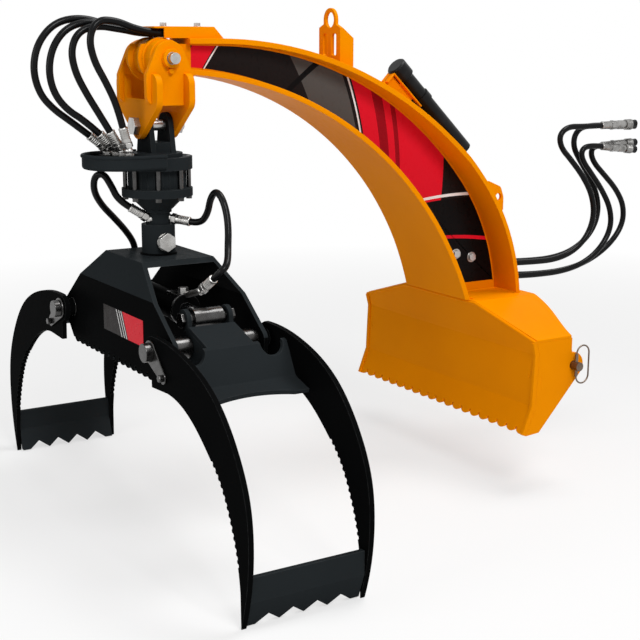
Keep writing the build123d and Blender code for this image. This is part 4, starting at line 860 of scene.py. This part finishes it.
webFilm = webDecalFinish()
for side in (1, -1):
    makeWebDecal(side, webFilm)
makeHeadLabel(headLabelFinish())
print("decals made")


# The base's side plates stand a little proud of the blade
def offsetLine(line, gap):
    # the open line moved off to its right, with mitred corners
    normals = []
    for (x0, z0), (x1, z1) in zip(line, line[1:]):
        length = sqrt((x1 - x0) ** 2 + (z1 - z0) ** 2)
        normals.append(((z1 - z0) / length, (x0 - x1) / length))
    moved = []
    for index, (x, z) in enumerate(line):
        first, second = normals[max(index - 1, 0)], normals[min(index, len(normals) - 1)]
        grow = gap / (1 + first[0] * second[0] + first[1] * second[1])
        moved.append((x + (first[0] + second[0]) * grow, z + (first[1] + second[1]) * grow))
    return moved


def makeCheeks():
    # strips that carry each side plate's edge forward
    mesh = bmesh.new()
    outline = offsetLine(baseSize["front"], baseSize["bladePlate"])
    outline += offsetLine(baseSize["front"], -baseSize["proud"])[::-1]
    for side in (1, -1):
        strip = plateMesh(outline, side * baseSize["bladeHalf"], side * baseSize["outer"])
        cutOff(strip, (0, 0, baseSize["cornerZ"] + 0.001), up, filled=True)
        bmesh.ops.recalc_face_normals(strip, faces=strip.faces)
        addMesh(mesh, strip)
    fronts = [edge for edge in sharpEdges(mesh)
              if all(vert.co.x > baseSize["frontsFrom"] for vert in edge.verts)]
    bevelled(mesh, fronts, baseSize["frontsEdge"], 2, True)
    newPiece(mesh, "side_plate_fronts", orangePaint, nodeBodies["side_plates"], sharpAbove=20.0)


makeCheeks()


# Toothed bars between the claw tips, bent once, with pointed notches
toothBar = {"middle": 0.938, "half": 0.129, "plate": 0.012, "slopedPlate": 0.0128, "notchHalf": 0.0265,
            "notchPitch": 0.0546, "notchDeep": 0.019, "edge": 0.0010,
            "front": ((0.652, -0.207), (0.652, -0.258), (0.632, -0.312))}


def barProfile():
    # the zigzag edge from one end to the other, as x and height above the tips
    places = [(-toothBar["half"], 0)]
    for number in (-1.5, -0.5, 0.5, 1.5):
        middle = number * toothBar["notchPitch"]
        places += [(middle - toothBar["notchHalf"], 0), (middle, toothBar["notchDeep"]),
                   (middle + toothBar["notchHalf"], 0)]
    return places + [(toothBar["half"], 0)]


def makeToothBar(side, facing):
    (topY, topZ), (foldY, foldZ), (tipY, tipZ) = toothBar["front"]
    slope = (foldY - tipY) / (foldZ - tipZ)
    places = [(toothBar["middle"] + x, lift) for x, lift in barProfile()]
    mesh = bmesh.new()
    rows = []
    for back, sloped in ((0, 0), (toothBar["plate"], toothBar["slopedPlate"])):
        for y, z in ((topY, topZ), (foldY, foldZ)):
            rows.append([mesh.verts.new((x, facing * (y - back), z)) for x, lift in places])
        rows.append([mesh.verts.new((x, facing * (tipY - sloped + slope * lift), tipZ + lift))
                     for x, lift in places])
    top, fold, low, topBack, foldBack, lowBack = rows
    for index in range(len(top) - 1):
        for first, second in ((top, fold), (fold, low), (lowBack, foldBack), (foldBack, topBack),
                              (low, lowBack), (topBack, top)):
            mesh.faces.new([first[index], first[index + 1], second[index + 1], second[index]])
    for index in (0, -1):
        mesh.faces.new([top[index], fold[index], foldBack[index], topBack[index]])
        mesh.faces.new([fold[index], low[index], lowBack[index], foldBack[index]])
    bmesh.ops.recalc_face_normals(mesh, faces=mesh.faces)
    softened(mesh, toothBar["edge"], clamped=True)
    bar = nodePiece(mesh, f"claw_{side}_toothed_bar", slatePaint, f"claw_{side}_tooth_bar", sharpAbove=12.0)


makeToothBar("left", 1)
makeToothBar("right", -1)


# Collars and locks on the tip pin are painted, its end is bare
tipPin = {"x": 0.938, "z": 0.738, "bare": 0.0150}


def beyondPin(face, data):
    corners = [data.vertices[number].co for number in face.vertices]
    reach = max(sqrt((co.x - tipPin["x"]) ** 2 + (co.z - tipPin["z"]) ** 2) for co in corners)
    return reach > tipPin["bare"]


secondFinish("tip_pin", orangePaint, beyondPin)


# Bolts through the webs and on the hose cover. A head is its width, height, washer and washer's height
boltPlaces = {"web": ((0.065, 0.227), (0.1155, 0.2394)), "webHead": (0.019, 0.0085, 0.0135, 0.0022),
              "cover": (0.8325, 0.915), "coverHead": (0.013, 0.0085, 0.009, 0.0012)}


def makeFrameBolts():
    mesh = bmesh.new()
    for side in (1, -1):
        for x, z in boltPlaces["web"]:
            addMesh(mesh, boltHead(*boltPlaces["webHead"]), (x, decal["webY"] * side, z), (0, side, 0))
    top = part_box("hose_cover")[1].z
    for x in boltPlaces["cover"]:
        addMesh(mesh, boltHead(*boltPlaces["coverHead"]), (x, 0, top), up)
    nodePiece(mesh, "frame_bolts_turned", zincPlate, "frame_bolts")


makeFrameBolts()


# Hose ends at the rotator, the turning shaft and the cylinder. A nut is its width and height
portBlock = {"x": (1.004, 1.059), "half": 0.047, "z": (0.508, 0.529), "edge": 0.003, "nut": (0.019, 0.007),
             "plug": (0.012, 0.004), "plugY": (-0.030, 0.0, 0.030), "plugZ": 0.5185}
cylinder = {"x": 0.938, "z": 0.200, "barrelR": 0.031, "port": (0.070, 0.134), "portHalf": 0.017,
            "portTop": 0.233, "portIn": 0.012, "edge": 0.0015, "lowPortY": -0.130, "nut": (0.020, 0.016),
            "lowNut": (0.026, 0.012), "bands": ((0.0355, 0.127, 0.134), (0.033, -0.190, -0.178))}


def elbowPlace(mesh, route, backwards=False):
    # adds a hose's end to the mesh and gives the place of its elbow
    place, aim = lastRun(hoseRoutes[route], backwards)
    addMesh(mesh, hoseEndMesh(place, aim))
    return place + aim * hoseReach


def makeRotatorPorts():
    (back, front), (low, high), half = portBlock["x"], portBlock["z"], portBlock["half"]
    block = softened(boxMesh((back, -half, low), (front, half, high)), portBlock["edge"], 3)
    nodePiece(block, "port_block", blackPaint, "rotator_ports")
    mesh = bmesh.new()
    for number in (1, 2, 3, 4):
        elbow = elbowPlace(mesh, f"tip_{number}")
        foot = Vector((elbow.x, elbow.y, high - bite))
        addMesh(mesh, stubMesh(elbow, foot, ferrule["stubR"]))
        addMesh(mesh, hexNut(*portBlock["nut"]), foot, up)
    for y in portBlock["plugY"]:
        addMesh(mesh, hexNut(*portBlock["plug"]), (front - bite, y, portBlock["plugZ"]), (1, 0, 0))
    nodePiece(mesh, "port_fittings", zincPlate, "rotator_ports")


socketBolt = {"z": 0.336, "face": 0.0375, "head": (0.037, 0.013, 0.0205, 0.002), "stud": 0.0095,
              "studHigh": 0.004, "nut": (0.022, 0.010), "nutIn": 0.012}


def makeRotorFittings():
    mesh = bmesh.new()
    for side in (1, -1):
        bolt = boltHead(*socketBolt["head"], 0 if side > 0 else socketBolt["stud"], socketBolt["studHigh"])
        addMesh(mesh, bolt, (cylinder["x"], side * socketBolt["face"], socketBolt["z"]), (0, side, 0))
    for side in ("left", "right"):
        elbow = elbowPlace(mesh, f"lower_{side}", backwards=True)
        middle = Vector((cylinder["x"], 0, elbow.z))
        addMesh(mesh, stubMesh(elbow, middle, ferrule["stubR"]))
        inward = (middle - elbow).normalized()
        addMesh(mesh, hexNut(*socketBolt["nut"]), elbow + inward * socketBolt["nutIn"], inward)
    nodePiece(mesh, "rotor_fittings_steel", zincPlate, "rotor_fittings")


def makeBarrelFittings():
    x, z, half, top = cylinder["x"], cylinder["z"], cylinder["portHalf"], cylinder["portTop"]
    back, front = cylinder["port"]
    block = softened(boxMesh((x - half, back, z), (x + half, front, top)), cylinder["edge"])
    for radius, low, high in cylinder["bands"]:
        addMesh(block, disc(radius, low, high, 0.001, 48), (x, 0, z), (0, 1, 0))
    nodePiece(block, "gland_block", darkSteel, "barrel_fittings")
    mesh = bmesh.new()
    elbow = elbowPlace(mesh, "lower_right")
    port = front - cylinder["portIn"]
    addMesh(mesh, stubMesh(elbow, (x, port, top - 0.004), ferrule["stubR"]))
    addMesh(mesh, hexNut(*cylinder["nut"]), (x, port, top - 0.001), up)
    elbowPlace(mesh, "lower_left")
    barrelTop = z + cylinder["barrelR"] - 0.002
    addMesh(mesh, hexNut(*cylinder["lowNut"]), (x, cylinder["lowPortY"], barrelTop), up)
    nodePiece(mesh, "barrel_fittings_steel", zincPlate, "barrel_fittings")


makeRotatorPorts()
makeRotorFittings()
makeBarrelFittings()
print("fittings made")


# The plate that the document tube lies on, and the tabs' ends in the base
tube = {"low": (0.074, 0, 0.505), "high": (0.294, 0, 0.718), "radius": 0.0195, "from": 0.60, "to": 0.985,
        "half": 0.014, "thick": 0.004, "drop": 0.030, "webHalf": 0.003, "reach": 0.0618, "rise": 0.022,
        "edge": 0.0008}
tabEnd = {"x": 0.100, "low": -0.048, "high": -0.012, "half": 0.0022, "proud": 0.0005, "inside": 0.002}


def makeTubePlate():
    low, high = Vector(tube["low"]), Vector(tube["high"])
    line = high - low
    side = Vector((line.z, 0, -line.x)).normalized()
    lip = line.normalized() * tube["thick"]
    start, end = low + line * tube["from"], low + line * tube["to"]
    near = tube["radius"] + bite
    far, drop = near + tube["thick"], near + tube["drop"]
    folded = (start + side * near, end + side * near, end + side * drop, end + side * drop - lip,
              end + side * far - lip, start + side * far)
    # upright plate from under the tube down to the flange
    upright = (start + side * near, end + side * near,
               end + side * (tube["reach"] + tube["rise"] * tube["to"]),
               start + side * (tube["reach"] + tube["rise"] * tube["from"]))
    mesh = plateMesh([(spot.x, spot.z) for spot in folded], -tube["half"], tube["half"])
    addMesh(mesh, plateMesh([(spot.x, spot.z) for spot in upright], -tube["webHalf"], tube["webHalf"]))
    newPiece(softened(mesh, tube["edge"]), "tube_plate", orangePaint, nodeBodies["tube_bracket"])


def makeTabEnds():
    mesh = bmesh.new()
    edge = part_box("side_plates")[1].y
    for side in (1, -1):
        inner, outer = sorted((side * (edge - tabEnd["inside"]), side * (edge + tabEnd["proud"])))
        addMesh(mesh, boxMesh((tabEnd["x"] - tabEnd["half"], inner, tabEnd["low"]),
                              (tabEnd["x"] + tabEnd["half"], outer, tabEnd["high"])))
    newPiece(mesh, "tab_ends", orangePaint, nodeBodies["side_plates"])


makeTubePlate()
makeTabEnds()


# Weld beads
beadSize = {"radius": 0.0028, "ripple": 0.0035, "pinRing": 0.041, "pinY": 0.032, "pinR": 0.0032,
            "baseR": 0.0042, "webArc": 0.8155, "webY": 0.0325, "webR": 0.002, "socketRing": 0.0385,
            "socketR": 0.003, "footIn": 0.013, "footY": (0.118, 0.034, 0.128), "footX": 0.130, "arcSteps": 40}


def beadMesh(places, radius):
    # rippled bead along a line of places
    steps = []
    for here, ahead in zip(places, places[1:]):
        here, ahead = Vector(here), Vector(ahead)
        count = max(2, int((ahead - here).length / beadSize["ripple"]))
        steps += [here.lerp(ahead, index / count) for index in range(count)]
    steps.append(Vector(places[-1]))
    return tubeMesh(steps, radius)


def arcPlaces(centre, radius, first, last, y):
    count = beadSize["arcSteps"]
    turns = [radians(first + (last - first) * index / count) for index in range(count + 1)]
    return [(centre[0] + radius * cos(turn), y, centre[1] + radius * sin(turn)) for turn in turns]


def makeWelds():
    orange = bmesh.new()
    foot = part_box("boom_webs")[0].z
    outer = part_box("boom_outer_flange")[0].x + beadSize["footIn"]
    ridgeX, ridgeZ = baseSize["front"][0][0] - 0.001, baseSize["front"][0][1] + 0.001
    pin, footX = (tipPin["x"], tipPin["z"]), beadSize["footX"]
    for side in (1, -1):
        back, web, front = [side * y for y in beadSize["footY"]]
        for places, radius in (
                ([(outer, back, foot), (outer, web, foot), (footX, web, foot), (footX, front, foot)],
                 beadSize["radius"]),
                (arcPlaces(pin, beadSize["pinRing"], 0, 359, side * beadSize["pinY"]), beadSize["pinR"]),
                ([(ridgeX, 0, ridgeZ), (ridgeX, side * baseSize["ridgeY"], ridgeZ),
                  (baseSize["cornerX"] + 0.004, side * baseSize["outer"], baseSize["cornerZ"] + 0.001)],
                 beadSize["baseR"]),
                (arcPlaces(decal["centre"], beadSize["webArc"], 96, 158, side * beadSize["webY"]),
                 beadSize["webR"])):
            addMesh(orange, beadMesh(places, radius))
    newPiece(orange, "boom_welds", orangePaint, "root", flatFaces=False)
    low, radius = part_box("head_socket")[0].z + 0.0012, beadSize["socketRing"]
    ring = [(cylinder["x"] + radius * cos(turn * pi / 20), radius * sin(turn * pi / 20), low)
            for turn in range(41)]
    newPiece(beadMesh(ring, beadSize["socketR"]), "head_welds", blackPaint, "head", flatFaces=False)


makeWelds()
print("details made")


# Floor, world and lamps
studio = {"floorSize": 60.0, "floorGap": 0.0005, "floorColour": (0.84, 0.84, 0.84), "fadeFrom": 1.2,
          "fadeTo": 3.6, "fadeLeast": 0.62, "worldGlow": 0.24,
          "lamps": (("key", (1.2, 3.6, 3.4), 1.5, 118.0), ("fill", (3.8, 0.4, 1.4), 1.6, 24.0),
                    ("top", (-0.6, 0.6, 3.6), 1.6, 80.0)),
          "aim": (0.45, 0.0, 0.25)}


def cameraLike(tree):
    # 1 for what the camera sees itself, in a reflection or through glass
    path = addNode(tree, "LightPath")
    both = sumNode(tree, "MAXIMUM", path.outputs["Is Camera Ray"], path.outputs["Is Glossy Ray"])
    return sumNode(tree, "MAXIMUM", both, path.outputs["Is Transmission Ray"])


def makeStudio():
    world = bpy.data.worlds.new("studio")
    world.use_nodes = True
    bpy.context.scene.world = world
    tree = world.node_tree
    glow = tree.nodes["Background"]
    glow.inputs["Color"].default_value = (1, 1, 1, 1)
    wire(tree, spread(tree, cameraLike(tree), 0, 1, studio["worldGlow"], 1.0), glow.inputs["Strength"])
    for name, place, size, power in studio["lamps"]:
        lamp = bpy.data.lights.new(name, "AREA")
        lamp.shape = "RECTANGLE"
        lamp.size, lamp.size_y = size, size
        lamp.energy = power
        linked(name, lamp).matrix_world = aimed(place, Vector(place) - Vector(studio["aim"]))


def makeFloor():
    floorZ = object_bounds()[0].z - studio["floorGap"]
    mesh = bmesh.new()
    bmesh.ops.create_grid(mesh, x_segments=1, y_segments=1, size=studio["floorSize"])
    raised(mesh, floorZ)
    finish, tree, shader, place = startFinish("studio_floor", 0.0)
    shader.inputs["Base Color"].default_value = (*studio["floorColour"], 1)
    shader.inputs["Roughness"].default_value = 0.9
    far = addNode(tree, "Emission")
    blend = addNode(tree, "MixShader")
    reach = addNode(tree, "VectorMath", operation="LENGTH")
    wire(tree, place, reach.inputs[0])
    fade = spread(tree, reach.outputs["Value"], studio["fadeFrom"], studio["fadeTo"], studio["fadeLeast"])
    wire(tree, sumNode(tree, "MULTIPLY", fade, cameraLike(tree)), blend.inputs[0])
    wire(tree, shader.outputs[0], blend.inputs[1])
    wire(tree, far.outputs[0], blend.inputs[2])
    wire(tree, blend.outputs[0], tree.nodes["Material Output"].inputs["Surface"])
    newPiece(mesh, "floor", finish, None, flatFaces=False)


makeFloor()
makeStudio()
bpy.context.scene.view_settings.view_transform = "Standard"
print("studio made")
